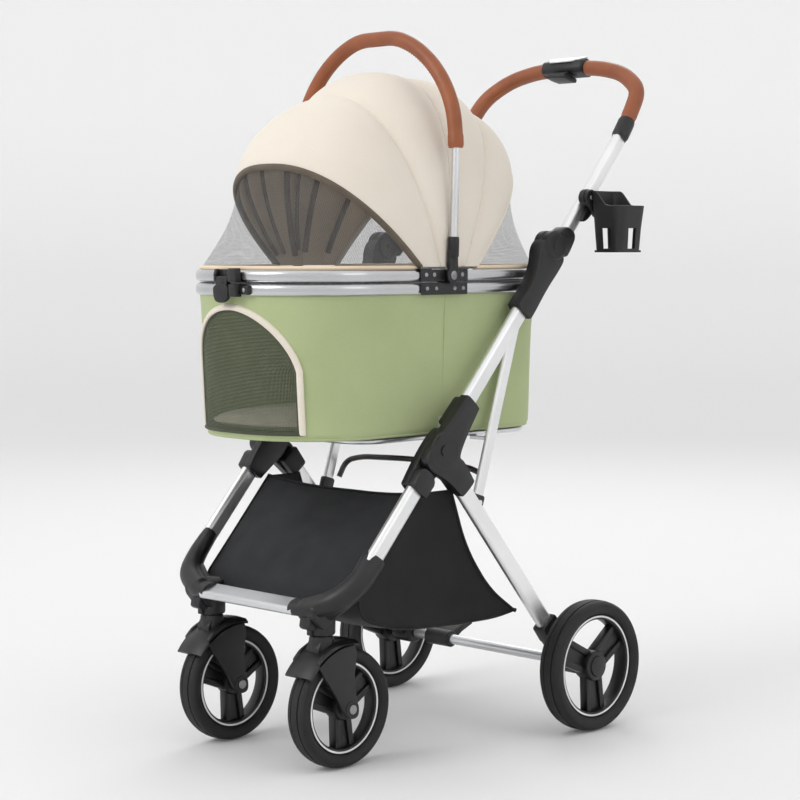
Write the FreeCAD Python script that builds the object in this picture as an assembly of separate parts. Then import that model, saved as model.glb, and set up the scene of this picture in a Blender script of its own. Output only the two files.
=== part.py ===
"""Four-wheel pet stroller with a detachable soft carrier, one STEP file for each sub-part.

Millimetres, +Z up, ground at z = 0, -Y is the front, x = 0 is the plane of symmetry.
The origin lies on the ground, midway between the front and the rear wheel contacts.
"Left" is the +X side, the left hand of the person who pushes.
"""
import FreeCAD, Part
import math
import os

V = FreeCAD.Vector

# ---- driving dimensions ---------------------------------------------------------------------
WHEELBASE = 436.0            # front to rear wheel contacts
REAR_TRACK = 447.0           # between the middles of the rear tyres
FRONT_TRACK = 244.0          # between the middles of the front tyres
FRAME_TRACK = 364.0          # between the middles of the two side frames
REAR_TYRE_R = 101.0
REAR_TYRE_WIDTH = 40.0
REAR_RIM_R = 80.0            # seat of the rear tyre
FRONT_TYRE_R = 87.5
FRONT_TYRE_WIDTH = 37.0
FRONT_RIM_R = 68.0           # seat of the front tyre
CASTER_TRAIL = 34.0          # swivel axis ahead of the front wheel's centre
AXLE_R = 6.0                 # rear axle
BOLT_R = 4.0                 # front wheel bolt
STEM_R = 6.0                 # caster stem

HIP_Y = -77.0                # hip pivot
HIP_Z = 452.0
LEAN = 41.5                  # degrees from the vertical, of the main tubes
KNEE_Z = 748.0               # height of the handle's fold pivot
KNEE_OFFSET = 15.0           # fold pivot ahead of the tube's centre line
HANDLE_REACH = 384.0         # fold pivot to the middle of the crossbar, along the tube
TUBE_WIDE = 28.0             # flat-oval tube, seen from the side
TUBE_THIN = 16.0             # flat-oval tube, seen from the front
TUBE_WALL = 1.8
HANDLE_TUBE_R = 9.5
GRIP_R = 13.0
HOUSING_THICK = 30.0         # moulded joints, across the side frame
HIP_DISC_R = 34.0
KNEE_DISC_R = 22.0
PIVOT_PIN_R = 5.0

CARRIER_WIDTH = 324.0        # over the rails
CARRIER_FRONT = 322.0        # rails' front, ahead of the origin
CARRIER_REAR = 214.0         # rails' back, behind the origin
CARRIER_FRONT_R = 145.0      # plan radius of the front corners
CARRIER_REAR_R = 85.0
RAIL_DEEP = 18.0             # height of one rail
RAIL_WIDE = 19.0
RAIL_GAP = 1.5               # between the upper and the lower rail
RAIL_TOP_Z = 714.0
TUB_BOTTOM_Z = 471.0
TUB_INSET = 6.0              # tub's top edge inside the rail's outer face
TUB_TAPER = 9.0              # tub's foot inside its top edge
TUB_WALL = 4.0
TUB_FLOOR = 6.0
DOOR_WIDTH = 214.0
DOOR_SILL_Z = 481.0
DOOR_TOP_Z = 661.0
CUSHION_THICK = 30.0

LID_AXIS_Y = -34.0           # common axis of both lids and the carrying handle
LID_DRUM_R = 8.5
CARRY_HALF_WIDTH = 170.0
CARRY_HEIGHT = 360.0         # lid axis to the middle of the arch
CARRY_SHOULDER = 199.0       # straight part of each leg
CARRY_TUBE_R = 5.8
CARRY_GRIP_R = 11.2

STRUT_WIDE = 20.0
STRUT_THIN = 8.0
AXLE_BAR_R = 8.0             # sleeve over the rear axle
FOOTBAR_DEEP = 34.0
FOOTBAR_THICK = 13.0
CUP_SIDE = 64.0
CUP_HEIGHT = 94.0
CUP_WALL = 2.6

RUNNING = 0.05               # radial clearance of a turning fit
GAP = 0.4                    # between pieces that move past each other
SOFT_GAP = 0.8               # round fabric

# ---- derived places -------------------------------------------------------------------------
FRONT_Y = -WHEELBASE / 2
REAR_Y = WHEELBASE / 2
FRAME_X = FRAME_TRACK / 2
FRONT_X = FRONT_TRACK / 2
REAR_X = REAR_TRACK / 2
STEM_Y = FRONT_Y - CASTER_TRAIL
CARRIER_X = CARRIER_WIDTH / 2
RAIL_SPLIT_Z = RAIL_TOP_Z - RAIL_DEEP
LOWER_RAIL_TOP_Z = RAIL_SPLIT_Z - RAIL_GAP
LOWER_RAIL_Z = LOWER_RAIL_TOP_Z - RAIL_DEEP
LID_AXIS_Z = RAIL_TOP_Z - RAIL_DEEP / 2
HALF_THICK = HOUSING_THICK / 2
SIN = math.sin(math.radians(LEAN))
COS = math.cos(math.radians(LEAN))
X_AXIS = V(1, 0, 0)
Z_AXIS = V(0, 0, 1)
HIP = V(FRAME_X, HIP_Y, HIP_Z)


def on_line(reach, offset=0.0, x=FRAME_X):
    """A point on the main tube's line, reach above the hip, offset to the back of the line."""
    return V(x, HIP_Y + reach * SIN + offset * COS, HIP_Z + reach * COS - offset * SIN)


KNEE_REACH = (KNEE_Z - HIP_Z - KNEE_OFFSET * SIN) / COS
KNEE = on_line(KNEE_REACH, -KNEE_OFFSET)
REAR_LEG_END = V(FRAME_X, REAR_Y - 52.0, 160.0)
REAR_DIR = (REAR_LEG_END - HIP).normalize()
FRONT_TUBE_END = on_line(-226.0)
FRONT_DIR = (FRONT_TUBE_END - HIP).normalize()


# ---- shape helpers --------------------------------------------------------------------------
def write(name, *solids):
    """One STEP file for a sub-part; several solids stay separate."""
    shape = solids[0] if len(solids) == 1 else Part.makeCompound(list(solids))
    shape.exportStep("parts/" + name + ".step")


def mirrored(shape):
    return shape.mirror(V(0, 0, 0), X_AXIS)


def both(name, *solids):
    """The same piece on the left and on the right, in two files."""
    write(name + "_left", *solids)
    write(name + "_right", *[mirrored(s) for s in solids])


def pair(name, *solids):
    """The left and the right piece of one rigid frame, as separate solids in one file."""
    write(name, *(list(solids) + [mirrored(s) for s in solids]))


def fused(*shapes):
    return shapes[0].multiFuse(list(shapes[1:])).removeSplitter()


def rod(radius, start, end):
    way = end - start
    return Part.makeCylinder(radius, way.Length, start, way)


def x_rod(radius, x0, x1, y, z):
    return Part.makeCylinder(radius, x1 - x0, V(x0, y, z), X_AXIS)


def z_rod(radius, x, y, z0, z1):
    return Part.makeCylinder(radius, z1 - z0, V(x, y, z0), Z_AXIS)


def block(x0, x1, y0, y1, z0, z1, fillet=0.0):
    shape = Part.makeBox(x1 - x0, y1 - y0, z1 - z0, V(x0, y0, z0))
    return shape.makeFillet(fillet, shape.Edges) if fillet else shape


def side_plate(points, x0, x1, fillet=0.0):
    """A polygon of (y, z) points, extruded from x0 to x1, with its long corners rounded."""
    corners = [V(x0, y, z) for y, z in points]
    face = Part.Face(Part.makePolygon(corners + corners[:1]))
    shape = face.extrude(V(x1 - x0, 0, 0))
    if fillet:
        along_x = [e for e in shape.Edges if abs(e.tangentAt(e.FirstParameter).x) > 0.99]
        shape = shape.makeFillet(fillet, along_x)
    return shape


def side_band(start, end, wide0, wide1, x0, x1, fillet=0.0):
    """A bar seen from the side: wide0 at its start and wide1 at its end."""
    way = (end - start).normalize()
    out = V(0, -way.z, way.y)
    corners = [start + out * (wide0 / 2), end + out * (wide1 / 2)]
    corners += [end - out * (wide1 / 2), start - out * (wide0 / 2)]
    return side_plate([(p.y, p.z) for p in corners], x0, x1, fillet)


def oval_tube(start, end, wide, thin, wall=0.0):
    """A straight flat-oval tube whose broad side faces sideways."""
    way = (end - start).normalize()
    out = V(0, -way.z, way.y)

    def section(w, t):
        flat = (w - t) / 2
        a = start + out * flat
        b = start - out * flat
        side = X_AXIS * (t / 2)
        edges = [Part.LineSegment(b + side, a + side).toShape()]
        edges.append(Part.Arc(a + side, a + out * (t / 2), a - side).toShape())
        edges.append(Part.LineSegment(a - side, b - side).toShape())
        edges.append(Part.Arc(b - side, b - out * (t / 2), b + side).toShape())
        return Part.Face(Part.Wire(edges))

    solid = section(wide, thin).extrude(end - start)
    if wall:
        solid = solid.cut(section(wide - 2 * wall, thin - 2 * wall).extrude(end - start))
    return solid


def soft_path(points):
    """Straight runs joined by tangent arcs as large as the runs allow."""
    edges = []
    last = points[0]
    for i in range(1, len(points) - 1):
        here = points[i]
        before = points[i - 1] - here
        after = points[i + 1] - here
        reach = 0.47 * min(before.Length, after.Length)
        before.normalize()
        after.normalize()
        a = here + before * reach
        b = here + after * reach
        half = before.getAngle(after) / 2
        if half > math.radians(89.8):
            continue
        radius = reach * math.tan(half)
        middle = (before + after).normalize()
        top = here + middle * (radius / math.sin(half) - radius)
        if (a - last).Length > 1e-3:
            edges.append(Part.LineSegment(last, a).toShape())
        edges.append(Part.Arc(a, top, b).toShape())
        last = b
    edges.append(Part.LineSegment(last, points[-1]).toShape())
    return Part.Wire(edges)


def swept(points, radius):
    """A round rod along a soft path."""
    path = soft_path(points)
    ring = Part.Wire(Part.Circle(points[0], points[1] - points[0], radius).toShape())
    return path.makePipeShell([ring], True, True)


def arch_points(half_width, height, squareness, tilt, y, z, count=12):
    """Points of an arch in a plane that leans tilt degrees above the forward horizontal."""
    points = []
    for i in range(count + 1):
        turn = math.pi * i / count
        across = math.copysign(abs(math.cos(turn)) ** squareness, math.cos(turn))
        up = height * math.sin(turn) ** squareness if 0 < i < count else 0.0
        lean = math.radians(tilt)
        points.append(V(half_width * across, y - up * math.cos(lean), z + up * math.sin(lean)))
    return points


def oval_outline(inset, z):
    """Plan outline of the carrier, inset from the rail's outer face."""
    x = CARRIER_X - inset
    front = -CARRIER_FRONT + inset
    rear = CARRIER_REAR - inset
    fr = CARRIER_FRONT_R - inset
    rr = CARRIER_REAR_R - inset
    k = math.sqrt(0.5)
    edges = [Part.LineSegment(V(-x + fr, front, z), V(x - fr, front, z)).toShape()]
    middle = V(x - fr + fr * k, front + fr - fr * k, z)
    edges.append(Part.Arc(V(x - fr, front, z), middle, V(x, front + fr, z)).toShape())
    edges.append(Part.LineSegment(V(x, front + fr, z), V(x, rear - rr, z)).toShape())
    middle = V(x - rr + rr * k, rear - rr + rr * k, z)
    edges.append(Part.Arc(V(x, rear - rr, z), middle, V(x - rr, rear, z)).toShape())
    edges.append(Part.LineSegment(V(x - rr, rear, z), V(-x + rr, rear, z)).toShape())
    middle = V(-x + rr - rr * k, rear - rr + rr * k, z)
    edges.append(Part.Arc(V(-x + rr, rear, z), middle, V(-x, rear - rr, z)).toShape())
    edges.append(Part.LineSegment(V(-x, rear - rr, z), V(-x, front + fr, z)).toShape())
    middle = V(-x + fr - fr * k, front + fr - fr * k, z)
    edges.append(Part.Arc(V(-x, front + fr, z), middle, V(-x + fr, front, z)).toShape())
    return Part.Wire(edges)


def oval_prism(inset, z0, z1):
    return Part.Face(oval_outline(inset, z0)).extrude(V(0, 0, z1 - z0))


def oval_loft(inset0, z0, inset1, z1):
    return Part.makeLoft([oval_outline(inset0, z0), oval_outline(inset1, z1)], True, True)


def revolved(profile, x, y, z):
    """A wheel part: (radius, offset along X) points turned about the X axis."""
    corners = [V(x + across, y, z + radius) for radius, across in profile]
    face = Part.Face(Part.makePolygon(corners + corners[:1]))
    return face.revolve(V(x, y, z), X_AXIS, 360)


# ---- wheels ---------------------------------------------------------------------------------
def tyre(radius, seat, width, x, y):
    """Round-shouldered tyre with a flat tread band, on a seat with a centre rib."""
    half = width / 2
    tread = 0.34 * width
    shoulder = 0.86 * half
    profile = [(seat, -0.62 * half), (seat + 4, -0.9 * half), (seat + 0.45 * (radius - seat), -half)]
    profile += [(radius - 0.18 * (radius - seat), -shoulder), (radius, -tread / 2)]
    profile += [(r, -a) for r, a in reversed(profile)]
    return revolved(profile, x, y, radius)


def wheel_hub(radius, seat, width, hub_r, bore_r, x, y, pockets):
    """Moulded wheel: rim, hub and three double-rib spokes, bored for its axle."""
    half = 0.62 * width / 2
    wall = 9.0
    rim = revolved([(seat - wall, -half + 3), (seat - 2, -half), (seat - 2, half), (seat - wall, half - 3)],
                   x, y, radius)
    seat_band = revolved([(seat - 3, -half + 2), (seat - GAP / 8, -half + 2), (seat - GAP / 8, half - 2),
                          (seat - 3, half - 2)], x, y, radius)
    hub = x_rod(hub_r, x - half - 2, x + half + 2, y, radius)
    shape = fused(rim, seat_band, hub)
    for turn in range(3):
        for side in (-1, 1):
            inner = V(0, side * 0.45 * hub_r, 0.6 * hub_r)
            outer = V(0, side * 0.16 * seat, seat - wall + 2)
            spoke = side_band(V(x, y, radius) + inner, V(x, y, radius) + outer, 8, 8, x - 7, x + 7)
            spoke.rotate(V(x, y, radius), X_AXIS, 120 * turn - 55)
            shape = shape.fuse(spoke)
        web = side_band(V(x, y, radius + 0.6 * hub_r), V(x, y, radius + seat - wall + 2),
                        0.8 * hub_r, 0.32 * seat, x - 2, x + 2)
        web.rotate(V(x, y, radius), X_AXIS, 120 * turn - 55)
        shape = shape.fuse(web)
    shape = shape.cut(x_rod(bore_r + RUNNING, x - width, x + width, y, radius))
    for i in range(pockets):
        turn = math.radians(360 / pockets * i)
        py = y + BRAKE_PIN_RING * math.cos(turn)
        pz = radius + BRAKE_PIN_RING * math.sin(turn)
        shape = shape.cut(x_rod(BRAKE_PIN_R + 2, x - half - 4, x - half + 6, py, pz))
    return shape.removeSplitter()


BRAKE_PIN_R = 3.0
BRAKE_PIN_RING = 18.0
REAR_HUB_R = 25.0
HUB_CAP_R = 15.0
HUB_CAP_THICK = 4.0
FRONT_HUB_R = 15.0


def make_wheels():
    both("rear_tyre", tyre(REAR_TYRE_R, REAR_RIM_R, REAR_TYRE_WIDTH, REAR_X, REAR_Y))
    hub = wheel_hub(REAR_TYRE_R, REAR_RIM_R, REAR_TYRE_WIDTH, REAR_HUB_R, AXLE_R, REAR_X, REAR_Y, 8)
    end = REAR_X + 0.31 * REAR_TYRE_WIDTH + 2
    cap = x_rod(HUB_CAP_R, end - 1, end + HUB_CAP_THICK, REAR_Y, REAR_TYRE_R)
    cap = cap.makeFillet(1.5, [e for e in cap.Edges if e.BoundBox.XMin > end + 1])
    both("rear_rim", fused(hub, cap))
    both("front_tyre", tyre(FRONT_TYRE_R, FRONT_RIM_R, FRONT_TYRE_WIDTH, FRONT_X, FRONT_Y))
    hub = wheel_hub(FRONT_TYRE_R, FRONT_RIM_R, FRONT_TYRE_WIDTH, FRONT_HUB_R, BOLT_R, FRONT_X, FRONT_Y, 0)
    both("front_rim", hub)


# ---- casters --------------------------------------------------------------------------------
ARM_THICK = 6.0
ARM_CLEAR = 3.5              # tyre to fork arm
CROWN_IN = 4.5               # tyre to the crown over it
CROWN_THICK = 7.0
CASTER_BOSS_R = 17.0
CASTER_TOP_Z = 197.0
STEM_TOP_Z = 236.0


def make_casters():
    arm_in = FRONT_TYRE_WIDTH / 2 + ARM_CLEAR
    arm_out = arm_in + ARM_THICK
    inner = FRONT_TYRE_R + CROWN_IN
    outer = inner + CROWN_THICK
    crown = x_rod(outer, FRONT_X - arm_out, FRONT_X + arm_out, FRONT_Y, FRONT_TYRE_R)
    crown = crown.cut(x_rod(inner, FRONT_X - arm_out, FRONT_X + arm_out, FRONT_Y, FRONT_TYRE_R))
    wedge = [(FRONT_Y, FRONT_TYRE_R), (FRONT_Y + 0.1 * outer, FRONT_TYRE_R + 1.4 * outer),
             (FRONT_Y - 1.6 * outer, FRONT_TYRE_R + 1.4 * outer), (FRONT_Y - 1.6 * outer, FRONT_TYRE_R + 0.95 * outer)]
    crown = crown.common(side_plate(wedge, FRONT_X - arm_out, FRONT_X + arm_out))
    arm = [(FRONT_Y + 13, FRONT_TYRE_R - 3), (FRONT_Y + 6, FRONT_TYRE_R - 14), (FRONT_Y - 8, FRONT_TYRE_R - 13)]
    arm += [(STEM_Y - 6, FRONT_TYRE_R + 42), (STEM_Y - 23, FRONT_TYRE_R + 0.83 * outer)]
    arm += [(STEM_Y + 10, FRONT_TYRE_R + 0.95 * outer), (FRONT_Y + 4, FRONT_TYRE_R + 0.9 * outer)]
    right = side_plate(arm, FRONT_X - arm_out, FRONT_X - arm_in, 4)
    left = side_plate(arm, FRONT_X + arm_in, FRONT_X + arm_out, 4)
    boss = z_rod(CASTER_BOSS_R, FRONT_X, STEM_Y, FRONT_TYRE_R + 0.8 * inner, CASTER_TOP_Z)
    boss = boss.cut(x_rod(inner, FRONT_X - 40, FRONT_X + 40, FRONT_Y, FRONT_TYRE_R))
    fork = fused(crown, right, left, boss)
    fork = fork.cut(x_rod(BOLT_R, FRONT_X - 50, FRONT_X + 50, FRONT_Y, FRONT_TYRE_R))
    stem = z_rod(STEM_R, FRONT_X, STEM_Y, CASTER_TOP_Z - 12, STEM_TOP_Z)
    bolt = x_rod(BOLT_R, FRONT_X - arm_out, FRONT_X + arm_out, FRONT_Y, FRONT_TYRE_R)
    head = x_rod(7.0, FRONT_X + arm_out, FRONT_X + arm_out + 3, FRONT_Y, FRONT_TYRE_R)
    nut = x_rod(6.5, FRONT_X - arm_out - 3, FRONT_X - arm_out, FRONT_Y, FRONT_TYRE_R)
    both("caster_fork", fork.cut(stem), stem, fused(bolt, head, nut))


# ---- front frame ----------------------------------------------------------------------------
SOCKET_START = 41.0          # hip sockets begin this far from the pivot
FOOTBAR_X = 102.0
FOOTBAR_Y = STEM_Y - 24.0
FOOTBAR_Z = 236.0
FOOTBAR_TILT = 18.0
LOCK_TRAVEL = 5.0
CASTING_R = 17.0             # bent part of the front casting


def make_front_frame():
    start = HIP + FRONT_DIR * (SOCKET_START + 14)
    inner = V(FRAME_X, FRONT_TUBE_END.y, FRONT_TUBE_END.z)
    pair("front_tubes", oval_tube(start, inner, TUBE_WIDE, TUBE_THIN, TUBE_WALL))
    knuckle = x_rod(HIP_DISC_R, FRAME_X - HALF_THICK, FRAME_X - GAP / 2, HIP_Y, HIP_Z)
    neck = side_band(HIP, HIP + FRONT_DIR * (SOCKET_START + 6), 40, TUBE_WIDE + 8,
                     FRAME_X - HALF_THICK, FRAME_X - GAP / 2)
    socket = side_band(HIP + FRONT_DIR * SOCKET_START, HIP + FRONT_DIR * (SOCKET_START + 32),
                       TUBE_WIDE + 8, TUBE_WIDE + 5, FRAME_X - 12, FRAME_X + 12)
    socket = socket.makeFillet(3, [e for e in socket.Edges if abs(e.tangentAt(e.FirstParameter).x) < 0.01])
    knuckle = fused(knuckle, neck, socket)
    knuckle = knuckle.cut(oval_tube(start, inner, TUBE_WIDE, TUBE_THIN))
    knuckle = knuckle.cut(x_rod(PIVOT_PIN_R + RUNNING, 0, 2 * FRAME_X, HIP_Y, HIP_Z))

    mouth = FRONT_TUBE_END - FRONT_DIR * 22
    route = [mouth, FRONT_TUBE_END + FRONT_DIR * 16, V(FRAME_X - 22, FOOTBAR_Y + 12, FOOTBAR_Z + 8)]
    route += [V(FOOTBAR_X + 26, FOOTBAR_Y, FOOTBAR_Z), V(FOOTBAR_X - 4, FOOTBAR_Y, FOOTBAR_Z)]
    casting = swept(route, CASTING_R)
    boss = z_rod(CASTER_BOSS_R + 2, FRONT_X, STEM_Y, CASTER_TOP_Z + GAP, CASTER_TOP_Z + 48)
    boss = boss.makeFillet(3, [e for e in boss.Edges if e.BoundBox.ZMin > CASTER_TOP_Z + 47])
    web = block(FRONT_X - 13, FRONT_X + 24, FOOTBAR_Y, STEM_Y, CASTER_TOP_Z + 16, CASTER_TOP_Z + 46, 6)
    casting = fused(casting, boss, web)
    casting = casting.cut(oval_tube(mouth - FRONT_DIR * 2, FRONT_TUBE_END, TUBE_WIDE, TUBE_THIN))
    casting = casting.cut(z_rod(STEM_R + RUNNING, FRONT_X, STEM_Y, 150, STEM_TOP_Z + 1))
    lock_y = STEM_Y - 19
    casting = casting.cut(block(FRONT_X - 6, FRONT_X + 6, lock_y - 12, lock_y + 8, CASTER_TOP_Z - 2,
                                CASTER_TOP_Z + 24 + LOCK_TRAVEL))
    bar = block(-FOOTBAR_X, FOOTBAR_X, -FOOTBAR_DEEP / 2, FOOTBAR_DEEP / 2, -FOOTBAR_THICK / 2, FOOTBAR_THICK / 2)
    bar = bar.makeFillet(5.5, [e for e in bar.Edges if e.BoundBox.XLength > FOOTBAR_X])
    bar.rotate(V(0, 0, 0), X_AXIS, FOOTBAR_TILT)
    bar.translate(V(0, FOOTBAR_Y, FOOTBAR_Z))
    pair("front_castings", knuckle, casting.cut(bar))
    write("footbar", bar)
    slider = block(FRONT_X - 5, FRONT_X + 5, lock_y - 5, lock_y + 4, CASTER_TOP_Z + 2 * GAP, CASTER_TOP_Z + 18, 1.5)
    slider = slider.cut(z_rod(12.0, FRONT_X, STEM_Y, 150, 260))
    both("caster_lock", slider)


# ---- side frames ----------------------------------------------------------------------------
SOCKET_IN = FRAME_X - 12.0   # inner face of the moulded sockets
STRUT_X = SOCKET_IN - STRUT_THIN / 2 - 0.5
STRUT_TOP = V(STRUT_X, 106, 634)
STRUT_FOOT = V(STRUT_X, 22, 366)
KNEE_SOCKET = 118.0          # lower fold housing reaches this far down the tube


def make_side_frames():
    lower = on_line(HIP_DISC_R + 6)
    upper = on_line(KNEE_REACH - KNEE_DISC_R - 2)
    pair("main_tubes", oval_tube(lower, upper, TUBE_WIDE, TUBE_THIN, TUBE_WALL))
    leg_start = HIP + REAR_DIR * (SOCKET_START + 10)
    pair("rear_legs", oval_tube(leg_start, REAR_LEG_END, TUBE_WIDE, TUBE_THIN, TUBE_WALL))

    disc = x_rod(HIP_DISC_R, FRAME_X + GAP / 2, FRAME_X + HALF_THICK, HIP_Y, HIP_Z)
    outer_x = FRAME_X + HALF_THICK
    up_socket = side_band(on_line(38), on_line(84), TUBE_WIDE + 12, TUBE_WIDE + 4, FRAME_X - 12, FRAME_X + 13)
    down_socket = side_band(HIP + REAR_DIR * SOCKET_START, HIP + REAR_DIR * (SOCKET_START + 30),
                            TUBE_WIDE + 8, TUBE_WIDE + 5, FRAME_X - 12, FRAME_X + 12)
    up_cheek = side_band(on_line(-6), on_line(52), 52, TUBE_WIDE + 11, FRAME_X + GAP / 2, outer_x)
    down_cheek = side_band(HIP, HIP + REAR_DIR * (SOCKET_START + 8), 46, TUBE_WIDE + 9, FRAME_X + GAP / 2, outer_x)
    housing = fused(disc, up_cheek, down_cheek, up_socket, down_socket)
    housing = housing.cut(oval_tube(lower, upper, TUBE_WIDE, TUBE_THIN))
    housing = housing.cut(oval_tube(leg_start, REAR_LEG_END, TUBE_WIDE, TUBE_THIN))
    housing = housing.cut(x_rod(PIVOT_PIN_R, 0, 2 * FRAME_X, HIP_Y, HIP_Z))
    swing = side_band(HIP + FRONT_DIR * (SOCKET_START - GAP), HIP + FRONT_DIR * 120, 300, 300, 0, 2 * FRAME_X)
    pair("hip_housings", housing.cut(swing))
    pin = x_rod(PIVOT_PIN_R, FRAME_X - HALF_THICK - 2, outer_x, HIP_Y, HIP_Z)
    rivet = x_rod(PIVOT_PIN_R + 3, outer_x, outer_x + 2, HIP_Y, HIP_Z)
    knee_pin = x_rod(PIVOT_PIN_R, FRAME_X - HALF_THICK - 2, FRAME_X + HALF_THICK, KNEE.y, KNEE.z)
    knee_rivet = x_rod(PIVOT_PIN_R + 3, FRAME_X + HALF_THICK, FRAME_X + HALF_THICK + 2, KNEE.y, KNEE.z)
    pair("fold_pins", fused(pin, rivet), fused(knee_pin, knee_rivet))

    # lower half of the handle's fold joint
    cheek = x_rod(KNEE_DISC_R, FRAME_X + GAP / 2, FRAME_X + HALF_THICK, KNEE.y, KNEE.z)
    body = side_plate([(p.y, p.z) for p in (on_line(KNEE_REACH - GAP, 17), on_line(KNEE_REACH - GAP, -34),
                                            on_line(KNEE_REACH - 30, -30), on_line(KNEE_REACH - KNEE_SOCKET, -17),
                                            on_line(KNEE_REACH - KNEE_SOCKET, 15))],
                      FRAME_X - 12, FRAME_X + 13)
    body = body.cut(x_rod(KNEE_DISC_R + GAP, 0, FRAME_X + GAP / 2, KNEE.y, KNEE.z))
    body = fused(body, cheek)
    body = body.cut(oval_tube(lower, upper, TUBE_WIDE, TUBE_THIN))
    body = body.cut(x_rod(PIVOT_PIN_R, 0, 2 * FRAME_X, KNEE.y, KNEE.z))
    pair("lower_fold_joints", body)

    # strut from the fold joint down to the rear leg
    strut = oval_tube(STRUT_TOP, STRUT_FOOT, STRUT_WIDE, STRUT_THIN)
    face = STRUT_X + STRUT_THIN / 2
    for place, long in ((STRUT_TOP, SOCKET_IN - face), (STRUT_FOOT, FRAME_X - TUBE_THIN / 2 - face)):
        strut = strut.fuse(x_rod(4.0, face - 1, face + long, place.y, place.z))
    pair("struts", strut.removeSplitter())

    # rear brackets and the axle
    bracket = side_band(REAR_LEG_END - REAR_DIR * 14, REAR_LEG_END + REAR_DIR * 20, TUBE_WIDE + 6, TUBE_WIDE + 10,
                        FRAME_X - 12, FRAME_X + 12)
    knuckle = x_rod(17.0, FRAME_X - 24, REAR_X - REAR_TYRE_WIDTH / 2 - 3, REAR_Y, REAR_TYRE_R)
    arm = side_band(REAR_LEG_END + REAR_DIR * 10, V(FRAME_X, REAR_Y, REAR_TYRE_R), TUBE_WIDE + 9, 30,
                    FRAME_X - 12, FRAME_X + 12)
    bracket = fused(bracket, knuckle, arm)
    bracket = bracket.cut(oval_tube(leg_start, REAR_LEG_END, TUBE_WIDE, TUBE_THIN))
    axle_end = REAR_X + 0.31 * REAR_TYRE_WIDTH
    axle = x_rod(AXLE_R, -axle_end, axle_end, REAR_Y, REAR_TYRE_R)
    sleeve = x_rod(AXLE_BAR_R, -FRAME_X + 26, FRAME_X - 26, REAR_Y, REAR_TYRE_R).cut(axle)
    bracket = bracket.cut(axle)
    pin_y = REAR_Y + BRAKE_PIN_RING
    bracket = fused(bracket, x_rod(6.0, FRAME_X + 6, REAR_X - REAR_TYRE_WIDTH / 2 - 3, pin_y, REAR_TYRE_R))
    bracket = bracket.cut(x_rod(BRAKE_PIN_R + RUNNING, FRAME_X - 10, REAR_X, pin_y, REAR_TYRE_R)).cut(axle)
    pair("rear_brackets", bracket)
    write("rear_axle", axle, sleeve)
    pin = x_rod(BRAKE_PIN_R, FRAME_X - 8, REAR_X - 0.62 * REAR_TYRE_WIDTH / 2 - 3.5, pin_y, REAR_TYRE_R)
    both("brake_pin", pin)


PEDAL_X0 = -126.0
PEDAL_X1 = -74.0


def make_brake_pedal():
    barrel = x_rod(13.0, PEDAL_X0, PEDAL_X1, REAR_Y, REAR_TYRE_R)
    tread = side_plate([(REAR_Y + 8, REAR_TYRE_R + 9), (REAR_Y + 52, REAR_TYRE_R + 26),
                        (REAR_Y + 54, REAR_TYRE_R + 19), (REAR_Y + 8, REAR_TYRE_R - 4)], PEDAL_X0 + 4, PEDAL_X1 - 4, 2)
    pedal = fused(barrel, tread)
    write("brake_pedal", pedal.cut(x_rod(AXLE_BAR_R + RUNNING, -200, 200, REAR_Y, REAR_TYRE_R)))


# ---- cradle under the carrier ---------------------------------------------------------------
CRADLE_X = 128.0
CRADLE_TOP_Z = TUB_BOTTOM_Z - GAP
CRADLE_TALL = 9.0


def make_cradle():
    z = CRADLE_TOP_Z - CRADLE_TALL / 2
    loop = [V(0, -178, z), V(CRADLE_X - 26, -178, z), V(CRADLE_X, -152, z), V(CRADLE_X, 160, z)]
    loop += [V(CRADLE_X - 26, 186, z), V(0, 186, z)]
    half = swept(loop, CRADLE_TALL / 2)
    rail_loop = fused(half, mirrored(half))
    arm_in = CRADLE_X + CRADLE_TALL / 2
    hip_arm = fused(block(arm_in - 4, FRAME_X - 12, -54, -44, z - 9, z - CRADLE_TALL / 2),
                    block(FRAME_X - 20, FRAME_X - 12, -56, -42, z - 12, z + 34))
    hip_arm = hip_arm.cut(x_rod(HIP_DISC_R + GAP, 0, FRAME_X, HIP_Y, HIP_Z))
    strut_y = STRUT_FOOT.y + (z - STRUT_FOOT.z) * (STRUT_TOP.y - STRUT_FOOT.y) / (STRUT_TOP.z - STRUT_FOOT.z)
    strut_arm = block(arm_in - 4, STRUT_X - STRUT_THIN / 2, strut_y - 7, strut_y + 7, z - 9, z - CRADLE_TALL / 2)
    strut_arm = fused(strut_arm, x_rod(4.0, STRUT_X - STRUT_THIN / 2 - 4, STRUT_X - STRUT_THIN / 2, strut_y, z - 6))
    pieces = [hip_arm.cut(rail_loop), strut_arm.cut(rail_loop)]
    write("cradle", rail_loop, *(pieces + [mirrored(p) for p in pieces]))

    # dark cross bar behind the hips
    foot = V(STRUT_X - STRUT_THIN / 2 - 6.5, 40, 378)
    bend = V(118, 56, 412)
    path = [foot, V(foot.x - 4, 52, 404), bend, V(0, 62, 416), V(-bend.x, bend.y, bend.z)]
    path += [V(-foot.x + 4, 52, 404), V(-foot.x, foot.y, foot.z)]
    write("cross_bar", swept(path, 4.5))


# ---- handle ---------------------------------------------------------------------------------
SLEEVE_REACH = 236.0         # black sleeve above the fold pivot, along the tube
SLEEVE_LONG = 38.0
CAP_HALF = 44.0
TRIGGER_X = 20.0
BAR_OFFSET = -21.0           # crossbar ahead of the tubes' line


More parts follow.
